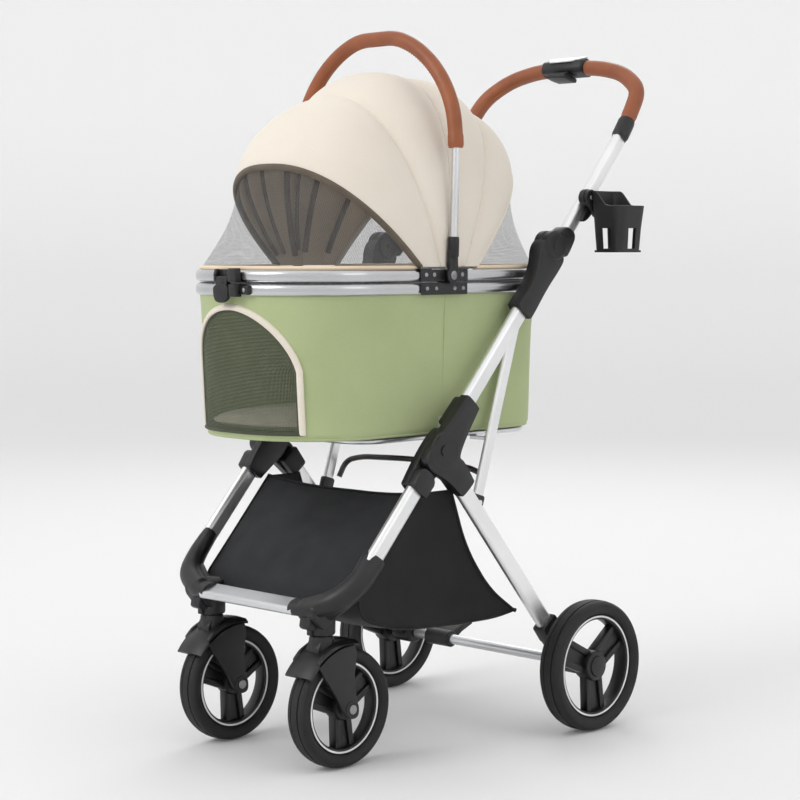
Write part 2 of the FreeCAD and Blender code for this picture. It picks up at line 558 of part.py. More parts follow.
def handle_route():
    """The handle's centre line from the left tube over the crossbar, in its leaning plane."""
    k = KNEE_REACH
    places = [(FRAME_X, KNEE_DISC_R + 2, 0), (FRAME_X - 1, 120, 0), (FRAME_X - 4, SLEEVE_REACH, 0),
              (FRAME_X - 8, 290, -3), (FRAME_X - 14, 338, -8), (124, 370, -16), (62, HANDLE_REACH, BAR_OFFSET)]
    left = [on_line(k + s, ahead, x) for x, s, ahead in places]
    return left + [V(-p.x, p.y, p.z) for p in reversed(left)]


def cut_between(shape, low, high, keep_x=None):
    """The part of a shape between two reaches along the main line."""
    slab = side_band(on_line(low), on_line(high), 400, 400, -300, 300)
    slab = slab.common(block(keep_x[0], keep_x[1], -500, 900, 0, 1500)) if keep_x else slab
    return shape.common(slab)


def make_handle():
    k = KNEE_REACH
    tube = swept(handle_route(), HANDLE_TUBE_R)
    write("handle_tube", tube.cut(swept(handle_route(), HANDLE_TUBE_R - TUBE_WALL)))
    sleeve = swept(handle_route(), GRIP_R + 0.5).cut(tube)
    sleeve_top = k + SLEEVE_REACH + SLEEVE_LONG
    pair("handle_sleeves", cut_between(sleeve, k + SLEEVE_REACH, sleeve_top, (0, 300)))
    grip = swept(handle_route(), GRIP_R).cut(tube)
    pair("handle_grips", cut_between(grip, sleeve_top + 0.3, k + 600, (CAP_HALF, 300)))
    centre = on_line(k + HANDLE_REACH, BAR_OFFSET, 0)
    cap = block(-CAP_HALF + 0.3, CAP_HALF - 0.3, -19, 17, -15, 17, 6)
    cap.rotate(V(0, 0, 0), X_AXIS, -LEAN + 28)
    cap.translate(centre)
    pocket = block(-TRIGGER_X - 1, TRIGGER_X + 1, -30, 12, -40, -9)
    pocket.rotate(V(0, 0, 0), X_AXIS, -LEAN + 28)
    pocket.translate(centre)
    write("handle_cap", cap.cut(tube).cut(pocket))
    trigger = block(-TRIGGER_X, TRIGGER_X, -17, 6, -24, -15.5, 3)
    trigger.rotate(V(0, 0, 0), X_AXIS, -LEAN + 28)
    trigger.translate(centre)
    write("fold_trigger", trigger.cut(swept(handle_route(), HANDLE_TUBE_R + GAP)))

    disc = x_rod(KNEE_DISC_R, FRAME_X - HALF_THICK, FRAME_X - GAP / 2, KNEE.y, KNEE.z)
    body = side_plate([(p.y, p.z) for p in (on_line(k + GAP, 17), on_line(k + GAP, -14), on_line(k + 22, -15),
                                            on_line(k + 40, -11.5), on_line(k + 40, 11.5))],
                      FRAME_X - 12, FRAME_X + 12)
    neck = side_plate([(p.y, p.z) for p in (on_line(k + GAP, 17), on_line(k + GAP, -KNEE_OFFSET),
                                            on_line(k + KNEE_DISC_R, -KNEE_OFFSET), on_line(k + 34, 14))],
                      FRAME_X - HALF_THICK, FRAME_X - GAP / 2)
    body = body.cut(x_rod(KNEE_DISC_R + GAP, FRAME_X - GAP / 2, 2 * FRAME_X, KNEE.y, KNEE.z))
    body = fused(body, disc, neck)
    body = body.cut(x_rod(PIVOT_PIN_R + RUNNING, 0, 2 * FRAME_X, KNEE.y, KNEE.z)).cut(tube)
    pair("upper_fold_joints", body)


# ---- cup holder -----------------------------------------------------------------------------
CUP_CENTRE = V(236.0, 262.0, 785.0)
CUP_PIVOT = V(FRAME_X + 17.0, 236.0, 822.0)


def rounded_square(side, corner, z):
    half = side / 2
    shape = block(-half, half, -half, half, z, z + 1)
    return shape.makeFillet(corner, [e for e in shape.Edges if e.BoundBox.ZLength > 0.5])


def cup_body(inset):
    """Tapered square cup, smaller at the bottom."""
    low = max(rounded_square(CUP_SIDE - 12 - 2 * inset, 10, 0).Faces, key=lambda f: -f.CenterOfMass.z).OuterWire
    high = max(rounded_square(CUP_SIDE - 2 * inset, 13, 0).Faces, key=lambda f: -f.CenterOfMass.z).OuterWire
    high.translate(V(0, 0, CUP_HEIGHT))
    return Part.makeLoft([low, high], True, True)


def make_cup_holder():
    reach = (CUP_PIVOT.z - HIP_Z) / COS
    clamp = side_band(on_line(reach - 20), on_line(reach + 20), 32, 32, FRAME_X - 13, FRAME_X + 13)
    clamp = clamp.makeFillet(5, clamp.Edges)
    clamp = clamp.cut(swept(handle_route(), HANDLE_TUBE_R))
    boss = x_rod(10.0, FRAME_X + 10, CUP_PIVOT.x - GAP, CUP_PIVOT.y, CUP_PIVOT.z)
    stub = x_rod(4.0, FRAME_X + 12, CUP_PIVOT.x + 6, CUP_PIVOT.y, CUP_PIVOT.z)
    clamp = fused(clamp, boss, stub).cut(swept(handle_route(), HANDLE_TUBE_R))
    write("cup_clamp", clamp)
    outer = cup_body(0)
    inner = cup_body(CUP_WALL)
    inner.translate(V(0, 0, CUP_WALL + 1))
    cup = outer.cut(inner)
    low_rim = block(-60, 60, -60, 60, CUP_HEIGHT - 22, CUP_HEIGHT + 10)
    keep_high = block(-60, -CUP_SIDE / 2 + 14, -60, 60, CUP_HEIGHT - 40, CUP_HEIGHT + 20)
    cup = cup.cut(low_rim.cut(keep_high))
    cup = cup.cut(block(-9, 9, -60, 60, 6, 37, 4))
    cup = cup.cut(block(-60, 60, -9, 9, 6, 37, 4))
    cup.translate(V(CUP_CENTRE.x, CUP_CENTRE.y, CUP_CENTRE.z - CUP_HEIGHT / 2))
    ear = x_rod(12.0, CUP_PIVOT.x, CUP_PIVOT.x + 6, CUP_PIVOT.y, CUP_PIVOT.z)
    link = side_plate([(CUP_PIVOT.y - 11, CUP_PIVOT.z), (CUP_PIVOT.y + 6, CUP_PIVOT.z + 12),
                       (CUP_CENTRE.y + 10, CUP_CENTRE.z + CUP_HEIGHT / 2 - 2),
                       (CUP_CENTRE.y + 10, CUP_CENTRE.z + 10), (CUP_CENTRE.y - 18, CUP_CENTRE.z + 8)],
                      CUP_PIVOT.x, CUP_PIVOT.x + 7)
    whole = fused(cup, ear, link)
    hollow = cup_body(CUP_WALL)
    hollow.translate(V(CUP_CENTRE.x, CUP_CENTRE.y, CUP_CENTRE.z - CUP_HEIGHT / 2 + CUP_WALL + 1))
    whole = whole.cut(hollow)
    write("cup_holder", whole.cut(x_rod(4.0 + RUNNING, FRAME_X, CUP_PIVOT.x + 6.5, CUP_PIVOT.y, CUP_PIVOT.z)))


# ---- carrier --------------------------------------------------------------------------------
HINGE_HALF = 12.0            # rails stop this far from the lid axis
LID_PIN_R = 3.5
PLATE_THICK = 2.4
PLATE_AHEAD = 58.0           # riveted plates reach this far either way from the lid axis
PLATE_BEHIND = 36.0
STRAP_THICK = 1.6
EYE_X = CARRIER_X + 2 * STRAP_THICK + 3 * GAP        # inner face of the carrying handle's eye
EYE_THICK = 6.0


def rail(z0):
    ring = oval_prism(0, z0, z0 + RAIL_DEEP)
    outer = [e for e in ring.Edges if e.BoundBox.ZLength < 0.01]
    ring = ring.makeFillet(7.0, outer)
    return ring.cut(oval_prism(RAIL_WIDE, z0 - 1, z0 + RAIL_DEEP + 1))


def door_prism(inset):
    """Arched doorway through the tub's front."""
    half = DOOR_WIDTH / 2 - inset
    sill = DOOR_SILL_Z + inset
    spring = DOOR_SILL_Z + 0.5 * (DOOR_TOP_Z - DOOR_SILL_Z)
    y = -CARRIER_FRONT - 40
    edges = [Part.LineSegment(V(-half, y, sill), V(half, y, sill)).toShape()]
    edges.append(Part.LineSegment(V(half, y, sill), V(half, y, spring)).toShape())
    top = V(0, y, DOOR_TOP_Z - inset)
    edges.append(Part.Arc(V(half, y, spring), top, V(-half, y, spring)).toShape())
    edges.append(Part.LineSegment(V(-half, y, spring), V(-half, y, sill)).toShape())
    return Part.Face(Part.Wire(edges)).extrude(V(0, 220, 0))


def make_carrier():
    lower = rail(LOWER_RAIL_Z)
    write("lower_rail", lower)
    tub_top = LOWER_RAIL_Z - GAP / 4
    outer = oval_loft(TUB_INSET + TUB_TAPER, TUB_BOTTOM_Z, TUB_INSET, tub_top)
    inner = oval_loft(TUB_INSET + TUB_TAPER + TUB_WALL, TUB_BOTTOM_Z + TUB_FLOOR, TUB_INSET + TUB_WALL, tub_top)
    shell = outer.cut(inner)
    write("tub", shell.cut(door_prism(0)))
    flap_outer = oval_loft(TUB_INSET + TUB_TAPER, TUB_BOTTOM_Z, TUB_INSET, tub_top)
    flap_inner = oval_loft(TUB_INSET + TUB_TAPER + 2.5, TUB_BOTTOM_Z, TUB_INSET + 2.5, tub_top)
    write("door_flap", flap_outer.cut(flap_inner).common(door_prism(1.0)))
    cushion = oval_prism(TUB_INSET + TUB_TAPER + TUB_WALL + 8, TUB_BOTTOM_Z + TUB_FLOOR + SOFT_GAP,
                         TUB_BOTTOM_Z + TUB_FLOOR + SOFT_GAP + CUSHION_THICK)
    rims = [e for e in cushion.Edges if e.BoundBox.ZLength < 0.01]
    write("cushion", cushion.makeFillet(9, rims))

    # side hinges: a drum on the lid axis above a plate riveted to the lower rail
    plate = block(CARRIER_X + GAP / 4, CARRIER_X + PLATE_THICK, LID_AXIS_Y - PLATE_AHEAD, LID_AXIS_Y + PLATE_BEHIND,
                  LOWER_RAIL_Z + 1, LOWER_RAIL_TOP_Z - 0.5)
    drum = x_rod(LID_DRUM_R, CARRIER_X - RAIL_WIDE, CARRIER_X, LID_AXIS_Y, LID_AXIS_Z)
    neck = block(CARRIER_X - RAIL_WIDE + 2, CARRIER_X, LID_AXIS_Y - 6, LID_AXIS_Y + 6,
                 LOWER_RAIL_TOP_Z - 1, LID_AXIS_Z)
    foot = block(CARRIER_X - 4, CARRIER_X + PLATE_THICK, LID_AXIS_Y - 6, LID_AXIS_Y + 6,
                 LOWER_RAIL_TOP_Z - 1, LOWER_RAIL_TOP_Z + 1)
    pin = x_rod(LID_PIN_R, CARRIER_X - RAIL_WIDE - 2, EYE_X + EYE_THICK + 1.5, LID_AXIS_Y, LID_AXIS_Z)
    pair("side_hinges", fused(plate, drum, neck, foot, pin).cut(lower))
    bow = arch_points(MID_HALF, MID_HIGH, MID_SQUARE, MID_TILT, MID_Y, RAIL_TOP_Z + BOW_R + GAP)
    write("middle_bow", swept(bow, BOW_R))


# ---- lids, hoops and canopy -----------------------------------------------------------------
BOW_R = 2.6
HOOP_R = 3.4
FRONT_HOOP = (153.0, 208.0, 0.83, 43.0, -88.0)       # half width, height, squareness, tilt, foot
FRONT_BOW = (153.0, 252.0, 0.90, 73.0, -48.0)
MID_HALF, MID_HIGH, MID_SQUARE, MID_TILT, MID_Y = 153.0, 279.0, 0.85, 97.0, -36.0
REAR_BOW = (150.0, 262.0, 0.82, 113.0, 4.0)
REAR_HOOP = (150.0, 222.0, 0.74, 131.0, 32.0)
CANOPY_THICK = 2.0
MESH_THICK = 1.6


def half_rail(front):
    """Front or rear half of the upper rail, with its hinge strap outside."""
    ring = rail(RAIL_SPLIT_Z)
    edge = LID_AXIS_Y - HINGE_HALF if front else LID_AXIS_Y + HINGE_HALF
    keep = block(-300, 300, -600, edge, 0, 900) if front else block(-300, 300, edge, 600, 0, 900)
    return ring.common(keep)


def lid_strap(front):
    """Riveted strap that carries the half rail on the hinge pin."""
    x0 = CARRIER_X + GAP if front else CARRIER_X + STRAP_THICK + 2 * GAP
    x1 = x0 + STRAP_THICK
    way = -1 if front else 1
    ends = (LID_AXIS_Y - PLATE_AHEAD, LID_AXIS_Y) if front else (LID_AXIS_Y, LID_AXIS_Y + PLATE_BEHIND)
    strap = block(x0, x1, ends[0], ends[1], RAIL_SPLIT_Z + 1, RAIL_TOP_Z - 1)
    eye = x_rod(RAIL_DEEP / 2 - 1, x0, x1, LID_AXIS_Y, LID_AXIS_Z)
    spacer_y = LID_AXIS_Y + way * 22
    spacer = x_rod(6.0, CARRIER_X - 2, x0, spacer_y, LID_AXIS_Z)
    strap = fused(strap, eye, spacer)
    return strap.cut(x_rod(LID_PIN_R + RUNNING, 0, 400, LID_AXIS_Y, LID_AXIS_Z)).cut(half_rail(front))


def arch_band(shape, inner, thick, foot_z):
    """Closed wire of an arch-shaped band, thick outside the arch grown by inner."""
    half, high, square, tilt, y = shape
    lean = math.radians(tilt)

    def curve(extra):
        points = arch_points(half + extra, high + extra, square, tilt, y, foot_z, 14)
        spline = Part.BSplineCurve()
        spline.interpolate(points)
        return spline.toShape(), points[0], points[-1]

    low, low_a, low_b = curve(inner)
    high_edge, high_a, high_b = curve(inner + thick)
    edges = [high_edge, Part.LineSegment(high_b, low_b).toShape(), low, Part.LineSegment(low_a, high_a).toShape()]
    return Part.Wire(Part.__sortEdges__(edges))


def canopy_shell(shapes):
    wires = [arch_band(s, BOW_R + SOFT_GAP + 1.5, CANOPY_THICK, RAIL_TOP_Z + 3) for s in shapes]
    return Part.makeLoft(wires, True, False)


def between(a, b, share):
    return tuple(p + (q - p) * share for p, q in zip(a, b))


def mesh_shell(hoop, front):
    """Thin mesh from the half rail up to its hoop: the gap between two lofts."""
    half, high, square, tilt, y = hoop
    reach = (CARRIER_FRONT - 10 + y) if front else (CARRIER_REAR - 10 - y)
    flat = (CARRIER_X - 7, reach, 0.72, 3.0 if front else 177.0, y)
    wires = [arch_band(flat, -MESH_THICK, MESH_THICK, RAIL_TOP_Z + 2),
             arch_band(between(flat, hoop, 0.5), -MESH_THICK - 2, MESH_THICK, RAIL_TOP_Z + 2),
             arch_band(hoop, -MESH_THICK - HOOP_R - 2.5, MESH_THICK, RAIL_TOP_Z + 2)]
    return Part.makeLoft(wires, True, False)


BOW_RISE = 12.0              # bow feet stay clear of the opening rails


def make_lids():
    for name, front, hoop in (("front", True, FRONT_HOOP), ("rear", False, REAR_HOOP)):
        half = half_rail(front)
        write(name + "_upper_rail", half)
        strap = lid_strap(front)
        bow = arch_points(*hoop, RAIL_TOP_Z + HOOP_R + GAP)
        write(name + "_hoop", swept(bow, HOOP_R))
        write(name + "_mesh", mesh_shell(hoop, front).cut(swept(bow, HOOP_R + GAP)))
        way = -1 if front else 1
        face = -CARRIER_FRONT if front else CARRIER_REAR
        keeper = block(-17, 17, *sorted((face + way * GAP, face + way * 9)), RAIL_SPLIT_Z + 1, RAIL_TOP_Z + 1, 2)
        axle = x_rod(2.0, -18, 18, face + way * 6, RAIL_SPLIT_Z + 5)
        keeper = keeper.cut(block(-13, 13, *sorted((face + way * 1.5, face + way * 20)), 0, RAIL_SPLIT_Z + 10))
        write(name + "_lid_fittings", strap, mirrored(strap), fused(keeper, axle))
        lever = block(-12, 12, *sorted((face + way * 2, face + way * 9.5)), LOWER_RAIL_Z - 6, RAIL_SPLIT_Z + 8, 2)
        write(name + "_latch_lever", lever.cut(x_rod(2.0 + RUNNING, -18, 18, face + way * 6, RAIL_SPLIT_Z + 5)))
    for name, bow in (("front_bow", FRONT_BOW), ("rear_bow", REAR_BOW)):
        whole = swept(arch_points(*bow, RAIL_TOP_Z + BOW_R + GAP), BOW_R)
        write(name, whole.cut(block(-300, 300, -500, 500, 0, RAIL_TOP_Z + BOW_RISE)))
    middle = (MID_HALF, MID_HIGH, MID_SQUARE, MID_TILT, MID_Y)
    write("front_canopy", canopy_shell([FRONT_HOOP, between(FRONT_HOOP, FRONT_BOW, 0.5), FRONT_BOW,
                                        between(FRONT_BOW, middle, 0.5), between(FRONT_BOW, middle, 0.97)]))
    write("rear_canopy", canopy_shell([between(middle, REAR_BOW, 0.08), REAR_BOW, REAR_HOOP]))


CONNECTOR_START = 26.0       # socket begins clear of the straps when the handle leans


def make_carry_handle():
    lean = math.radians(91.9)
    points = []
    for up in (0, 0.33, 0.66, 1.0):
        points.append((CARRY_HALF_WIDTH, CARRY_SHOULDER * up))
    for i in range(1, 6):
        turn = math.pi / 2 * i / 6
        points.append((CARRY_HALF_WIDTH * math.cos(turn) ** 1.05,
                       CARRY_SHOULDER + (CARRY_HEIGHT - CARRY_SHOULDER) * math.sin(turn) ** 1.05))
    route = [V(x, LID_AXIS_Y - up * math.cos(lean), LID_AXIS_Z + up * math.sin(lean)) for x, up in points]
    route[1:4] = [route[2], route[3]]
    route[2] = route[2] + (route[1] - route[2]) * 0.1
    foot = route[0]
    up = (route[1] - foot).normalize()
    route[0] = foot + up * (CONNECTOR_START + 6)
    route = route + [V(-p.x, p.y, p.z) for p in reversed(route)]
    tube = swept(route, CARRY_TUBE_R)
    write("carry_tube", tube.cut(swept(route, CARRY_TUBE_R - TUBE_WALL)))
    grip = swept(route, CARRY_GRIP_R).cut(tube)
    floor_z = LID_AXIS_Z + CARRY_SHOULDER - 14
    write("carry_grip", grip.common(block(-300, 300, -400, 400, floor_z, 1300)))
    socket = rod(8.6, foot + up * CONNECTOR_START, foot + up * (CONNECTOR_START + 28))
    socket = socket.cut(block(0, EYE_X - GAP, -400, 400, 0, 1300))
    eye = x_rod(RAIL_DEEP / 2, EYE_X, EYE_X + EYE_THICK, LID_AXIS_Y, LID_AXIS_Z)
    web = block(EYE_X, EYE_X + EYE_THICK, LID_AXIS_Y - 7, LID_AXIS_Y + 7, LID_AXIS_Z, LID_AXIS_Z + CONNECTOR_START + 6)
    connector = fused(socket, eye, web)
    connector = connector.cut(x_rod(LID_PIN_R + RUNNING, 0, 400, LID_AXIS_Y, LID_AXIS_Z)).cut(tube)
    pair("carry_connectors", connector)


# ---- basket ---------------------------------------------------------------------------------
BASKET_X = FRAME_X - TUBE_THIN / 2 - 4


def make_basket():
    outline = [(-96, 392), (-222, 250), (-214, 226), (-150, 196), (60, 186), (112, 194)]
    outline += [(70, 236), (16, 300), (-34, 392)]
    outer = side_plate(outline, -BASKET_X, BASKET_X, 6)
    inner_outline = [(-96, 420), (-96, 389.5), (-218, 249), (-211, 229), (-149, 199), (60, 189), (106, 196)]
    inner_outline += [(67, 234), (13, 298), (-37, 389.5), (-37, 420)]
    inner = side_plate(inner_outline, -BASKET_X + 2.5, BASKET_X - 2.5)
    back = side_plate([(-40, 420), (16, 300), (70, 236), (104, 202), (240, 202), (240, 420)],
                      -BASKET_X + 2.5, BASKET_X - 2.5)
    shell = outer.cut(inner).cut(back)
    write("basket", shell)


def main():
    os.makedirs("parts", exist_ok=True)
    make_wheels()
    make_casters()
    make_front_frame()
    make_side_frames()
    make_brake_pedal()
    make_cradle()
    make_handle()
    make_cup_holder()
    make_carrier()
    make_lids()
    make_carry_handle()
    make_basket()


main()
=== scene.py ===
import math

import bmesh
import bpy
from mathutils import Matrix, Vector, kdtree, noise


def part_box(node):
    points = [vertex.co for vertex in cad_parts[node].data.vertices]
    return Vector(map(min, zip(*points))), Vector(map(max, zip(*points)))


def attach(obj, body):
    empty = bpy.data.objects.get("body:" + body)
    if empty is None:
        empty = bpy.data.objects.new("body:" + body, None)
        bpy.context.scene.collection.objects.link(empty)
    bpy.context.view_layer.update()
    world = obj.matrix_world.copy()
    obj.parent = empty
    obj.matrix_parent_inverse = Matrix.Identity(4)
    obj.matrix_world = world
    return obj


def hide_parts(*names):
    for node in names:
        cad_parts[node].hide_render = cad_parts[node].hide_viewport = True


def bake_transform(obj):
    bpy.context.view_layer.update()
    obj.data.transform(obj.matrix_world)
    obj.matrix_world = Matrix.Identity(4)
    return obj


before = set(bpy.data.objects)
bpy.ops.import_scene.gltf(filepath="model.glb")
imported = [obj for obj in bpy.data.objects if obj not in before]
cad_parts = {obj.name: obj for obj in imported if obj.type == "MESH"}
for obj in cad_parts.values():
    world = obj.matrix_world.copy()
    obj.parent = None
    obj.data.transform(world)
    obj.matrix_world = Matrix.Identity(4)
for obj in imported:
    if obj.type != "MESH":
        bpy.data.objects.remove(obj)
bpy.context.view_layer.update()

# ---- wheels -----------------------------------------------------------------------------------
# Four solid tyres on moulded rims. Each tyre is a ring turned about its axle, with two grooves
# in the tread; a thin white ring is painted on both faces of every rim.


def new_finish(name, colour, rough, metallic=0.0):
    finish = bpy.data.materials.new(name)
    finish.use_nodes = True
    nodes = finish.node_tree.nodes
    shader = nodes["Principled BSDF"]
    shader.inputs["Base Color"].default_value = (*colour, 1)
    shader.inputs["Roughness"].default_value = rough
    shader.inputs["Metallic"].default_value = metallic
    return finish, nodes, finish.node_tree.links, shader


def speckle(nodes, links, scale, detail=2.0, stretch=(1, 1, 1), turn=0.0):
    """Noise in the piece's own coordinates, stretched along one axis where it is brushed."""
    place = nodes.new("ShaderNodeTexCoord")
    shift = nodes.new("ShaderNodeMapping")
    shift.inputs["Scale"].default_value = stretch
    shift.inputs["Rotation"].default_value = (turn, 0, 0)
    grain = nodes.new("ShaderNodeTexNoise")
    grain.inputs["Scale"].default_value = scale
    grain.inputs["Detail"].default_value = detail
    links.new(place.outputs["Object"], shift.inputs["Vector"])
    links.new(shift.outputs["Vector"], grain.inputs["Vector"])
    return grain.outputs["Fac"]


def tinted(nodes, links, value, dark, light, socket):
    ramp = nodes.new("ShaderNodeValToRGB")
    ramp.color_ramp.elements[0].color = (*dark, 1)
    ramp.color_ramp.elements[1].color = (*light, 1)
    ramp.color_ramp.elements[0].position = 0.3
    ramp.color_ramp.elements[1].position = 0.7
    links.new(value, ramp.inputs["Fac"])
    links.new(ramp.outputs["Color"], socket)


def ranged(nodes, links, value, low, high, socket):
    spread = nodes.new("ShaderNodeMapRange")
    spread.inputs["From Min"].default_value = 0.3
    spread.inputs["From Max"].default_value = 0.7
    spread.inputs["To Min"].default_value = low
    spread.inputs["To Max"].default_value = high
    links.new(value, spread.inputs["Value"])
    links.new(spread.outputs["Result"], socket)


def raised(nodes, links, value, shader, strength, distance):
    bump = nodes.new("ShaderNodeBump")
    bump.inputs["Strength"].default_value = strength
    bump.inputs["Distance"].default_value = distance
    links.new(value, bump.inputs["Height"])
    links.new(bump.outputs["Normal"], shader.inputs["Normal"])


def moulded(name, colour, rough, pitch=1300.0, strength=0.12):
    """Plastic or rubber from a mould: fine texture, slightly uneven gloss and shade."""
    finish, nodes, links, shader = new_finish(name, colour, rough)
    fine = speckle(nodes, links, pitch)
    broad = speckle(nodes, links, 26.0, 3.0)
    tinted(nodes, links, broad, [c * 0.8 for c in colour], [c * 1.25 for c in colour], shader.inputs["Base Color"])
    ranged(nodes, links, broad, rough - 0.05, rough + 0.06, shader.inputs["Roughness"])
    raised(nodes, links, fine, shader, strength, 0.0003)
    return finish


def as_piece(bm, name, finish, body, stands_for=(), crease=35.0):
    """A finished mesh becomes one piece that rides on a body of the frame."""
    mesh = bpy.data.meshes.new(name)
    bm.to_mesh(mesh)
    bm.free()
    item = bpy.data.objects.new(name, mesh)
    bpy.context.collection.objects.link(item)
    for each in (finish if isinstance(finish, list) else [finish]):
        mesh.materials.append(each)
    mesh.polygons.foreach_set("use_smooth", [True] * len(mesh.polygons))
    mesh.set_sharp_from_angle(angle=math.radians(crease))
    if body:
        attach(item, body)
    if stands_for:
        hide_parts(*stands_for)
    return item


def turned(profile, centre, steps=72):
    """A shape turned about an axle along X; profile is a closed ring of (radius, across) pairs."""
    bm = bmesh.new()
    verts = [bm.verts.new((centre[0] + across, centre[1], centre[2] + radius)) for radius, across in profile]
    edges = [bm.edges.new(ends) for ends in zip(verts, verts[1:] + verts[:1])]
    bmesh.ops.spin(bm, geom=verts + edges, cent=centre, axis=(1, 0, 0), angle=math.tau, steps=steps, use_merge=True)
    bmesh.ops.remove_doubles(bm, verts=bm.verts[:], dist=1e-6)
    bmesh.ops.recalc_face_normals(bm, faces=bm.faces[:])
    return bm


def prism(points, through):
    """A flat outline drawn out to a solid."""
    bm = bmesh.new()
    face = bm.faces.new([bm.verts.new(p) for p in points])
    out = bmesh.ops.extrude_face_region(bm, geom=[face])
    bmesh.ops.translate(bm, verts=[g for g in out["geom"] if isinstance(g, bmesh.types.BMVert)], vec=through)
    bmesh.ops.recalc_face_normals(bm, faces=bm.faces[:])
    return bm


def softened(bm, edges, offset, segments=2):
    bmesh.ops.bevel(bm, geom=edges, offset=offset, offset_type="OFFSET", segments=segments, profile=0.5,
                    affect="EDGES", material=-1, clamp_overlap=True)
    return bm


def plate(points, x0, x1, corner=0.0, edge=0.001):
    """A flat shape of (y, z) points, x0 to x1 thick, with rounded corners and softened edges."""
    bm = prism([(x0, y, z) for y, z in points], (x1 - x0, 0, 0))
    if corner:
        softened(bm, [e for e in bm.edges if abs(e.verts[0].co.x - e.verts[1].co.x) > 1e-5], corner, 4)
    bmesh.ops.recalc_face_normals(bm, faces=bm.faces[:])
    if edge:
        softened(bm, [e for e in bm.edges if e.calc_face_angle(0) > 0.6], edge)
    return bm


def slab(y0, y1, z0, z1, x0, x1, corner=0.0, edge=0.001):
    return plate([(y0, z0), (y1, z0), (y1, z1), (y0, z1)], x0, x1, corner, edge)


def joined(*shapes):
    """Several shapes in one mesh."""
    whole = bmesh.new()
    for bm in shapes:
        mesh = bpy.data.meshes.new("part")
        bm.to_mesh(mesh)
        bm.free()
        whole.from_mesh(mesh)
        bpy.data.meshes.remove(mesh)
    return whole


def barrel(radius, x0, x1, y, z, edge=0.0012, steps=40):
    """A short round part along X with softened rims."""
    r = radius
    return turned([(0, x0), (r - edge, x0), (r, x0 + edge), (r, x1 - edge), (r - edge, x1), (0, x1)], (0, y, z), steps)


tyre_rubber = moulded("tyre_rubber", (0.0070, 0.0070, 0.0075), 0.66, 900.0, 0.2)
wheel_black = moulded("wheel_black", (0.0065, 0.0065, 0.007), 0.40)
ring_paint = moulded("ring_paint", (0.80, 0.80, 0.79), 0.4, 1500.0, 0.04)

for side, word in ((1, "left"), (-1, "right")):
    for end, cap_r in (("rear", 0.0165), ("front", 0.0)):
        low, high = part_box(end + "_tyre_" + word)
        hub_low, hub_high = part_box(end + "_rim_" + word)
        centre = (low + high) / 2
        radius, half = (high.z - low.z) / 2, (high.x - low.x) / 2
        seat = radius - (0.021 if end == "rear" else 0.0195)
        ring = [(seat, -0.64 * half), (seat + 0.002, -0.80 * half), (seat + 0.006, -0.955 * half),
                (seat + 0.011, -half), (radius - 0.0055, -0.965 * half), (radius - 0.0022, -0.80 * half),
                (radius - 0.0008, -0.58 * half), (radius - 0.0006, -0.42 * half), (radius - 0.0018, -0.40 * half),
                (radius - 0.0018, -0.34 * half), (radius, -0.32 * half)]
        ring += [(r, -a) for r, a in reversed(ring)]
        as_piece(turned(ring, centre, 96), end + "_tread_" + word, tyre_rubber,
                 end + "_wheel_" + word, [end + "_tyre_" + word])
        wide = 0.62 * half
        band = [(seat - 0.0085, -wide + 0.003), (seat - 0.0075, -wide + 0.0006), (seat - 0.0055, -wide),
                (seat - 0.0012, -wide - 0.0006), (seat - 0.0002, -wide + 0.0006), (seat - 0.0002, 0)]
        band += [(r, -a) for r, a in reversed(band[:-1])] + [(seat - 0.0095, 0)]
        hub_r = 0.0235 if end == "rear" else 0.0185
        shapes = [turned(band, centre, 72)]
        hub = [(0, -wide - 0.002), (hub_r - 0.004, -wide - 0.002), (hub_r - 0.0015, -wide - 0.001),
               (hub_r, -wide + 0.002)]
        shapes.append(turned(hub + [(r, -a) for r, a in reversed(hub)], centre, 48))
        for turn in range(3):
            spoke = []
            for lean in (-1, 1):
                inner, outer = lean * 0.56 * hub_r, lean * 0.20 * seat
                rib = [(inner - 0.0052, 0.55 * hub_r), (inner + 0.0052, 0.55 * hub_r),
                       (outer + 0.0048, seat - 0.0075), (outer - 0.0048, seat - 0.0075)]
                spoke.append(plate(rib, -0.0075, 0.0075, 0, 0.0018))
            web = [(-0.5 * hub_r, 0.6 * hub_r), (0.5 * hub_r, 0.6 * hub_r), (0.19 * seat, seat - 0.008),
                   (-0.19 * seat, seat - 0.008)]
            spoke.append(plate(web, -0.003, 0.003, 0, 0))
            arm = joined(*spoke)
            bmesh.ops.rotate(arm, verts=arm.verts[:], cent=(0, 0, 0),
                             matrix=Matrix.Rotation(math.radians(120 * turn - 55), 3, "X"))
            bmesh.ops.translate(arm, verts=arm.verts[:], vec=centre)
            shapes.append(arm)
        if cap_r:
            out = abs(hub_high.x if side > 0 else hub_low.x) - abs(centre.x)
            cap = [(0, side * out), (cap_r * 0.6, side * (out - 0.0004)), (cap_r * 0.92, side * (out - 0.0016)),
                   (cap_r, side * (out - 0.0040)), (cap_r, side * wide), (0, side * wide)]
            shapes.append(turned(cap, centre, 48))
        as_piece(joined(*shapes), end + "_wheel_body_" + word, wheel_black,
                 end + "_wheel_" + word, [end + "_rim_" + word])
        rings = []
        for face in (-1, 1):
            x = face * (wide + 0.0006)
            rings.append(turned([(seat - 0.0049, x), (seat - 0.0046, x + face * 0.0006),
                                 (seat - 0.0024, x + face * 0.0006), (seat - 0.0021, x)], centre, 96))
        as_piece(joined(*rings), end + "_white_ring_" + word, ring_paint,
                 end + "_wheel_" + word)

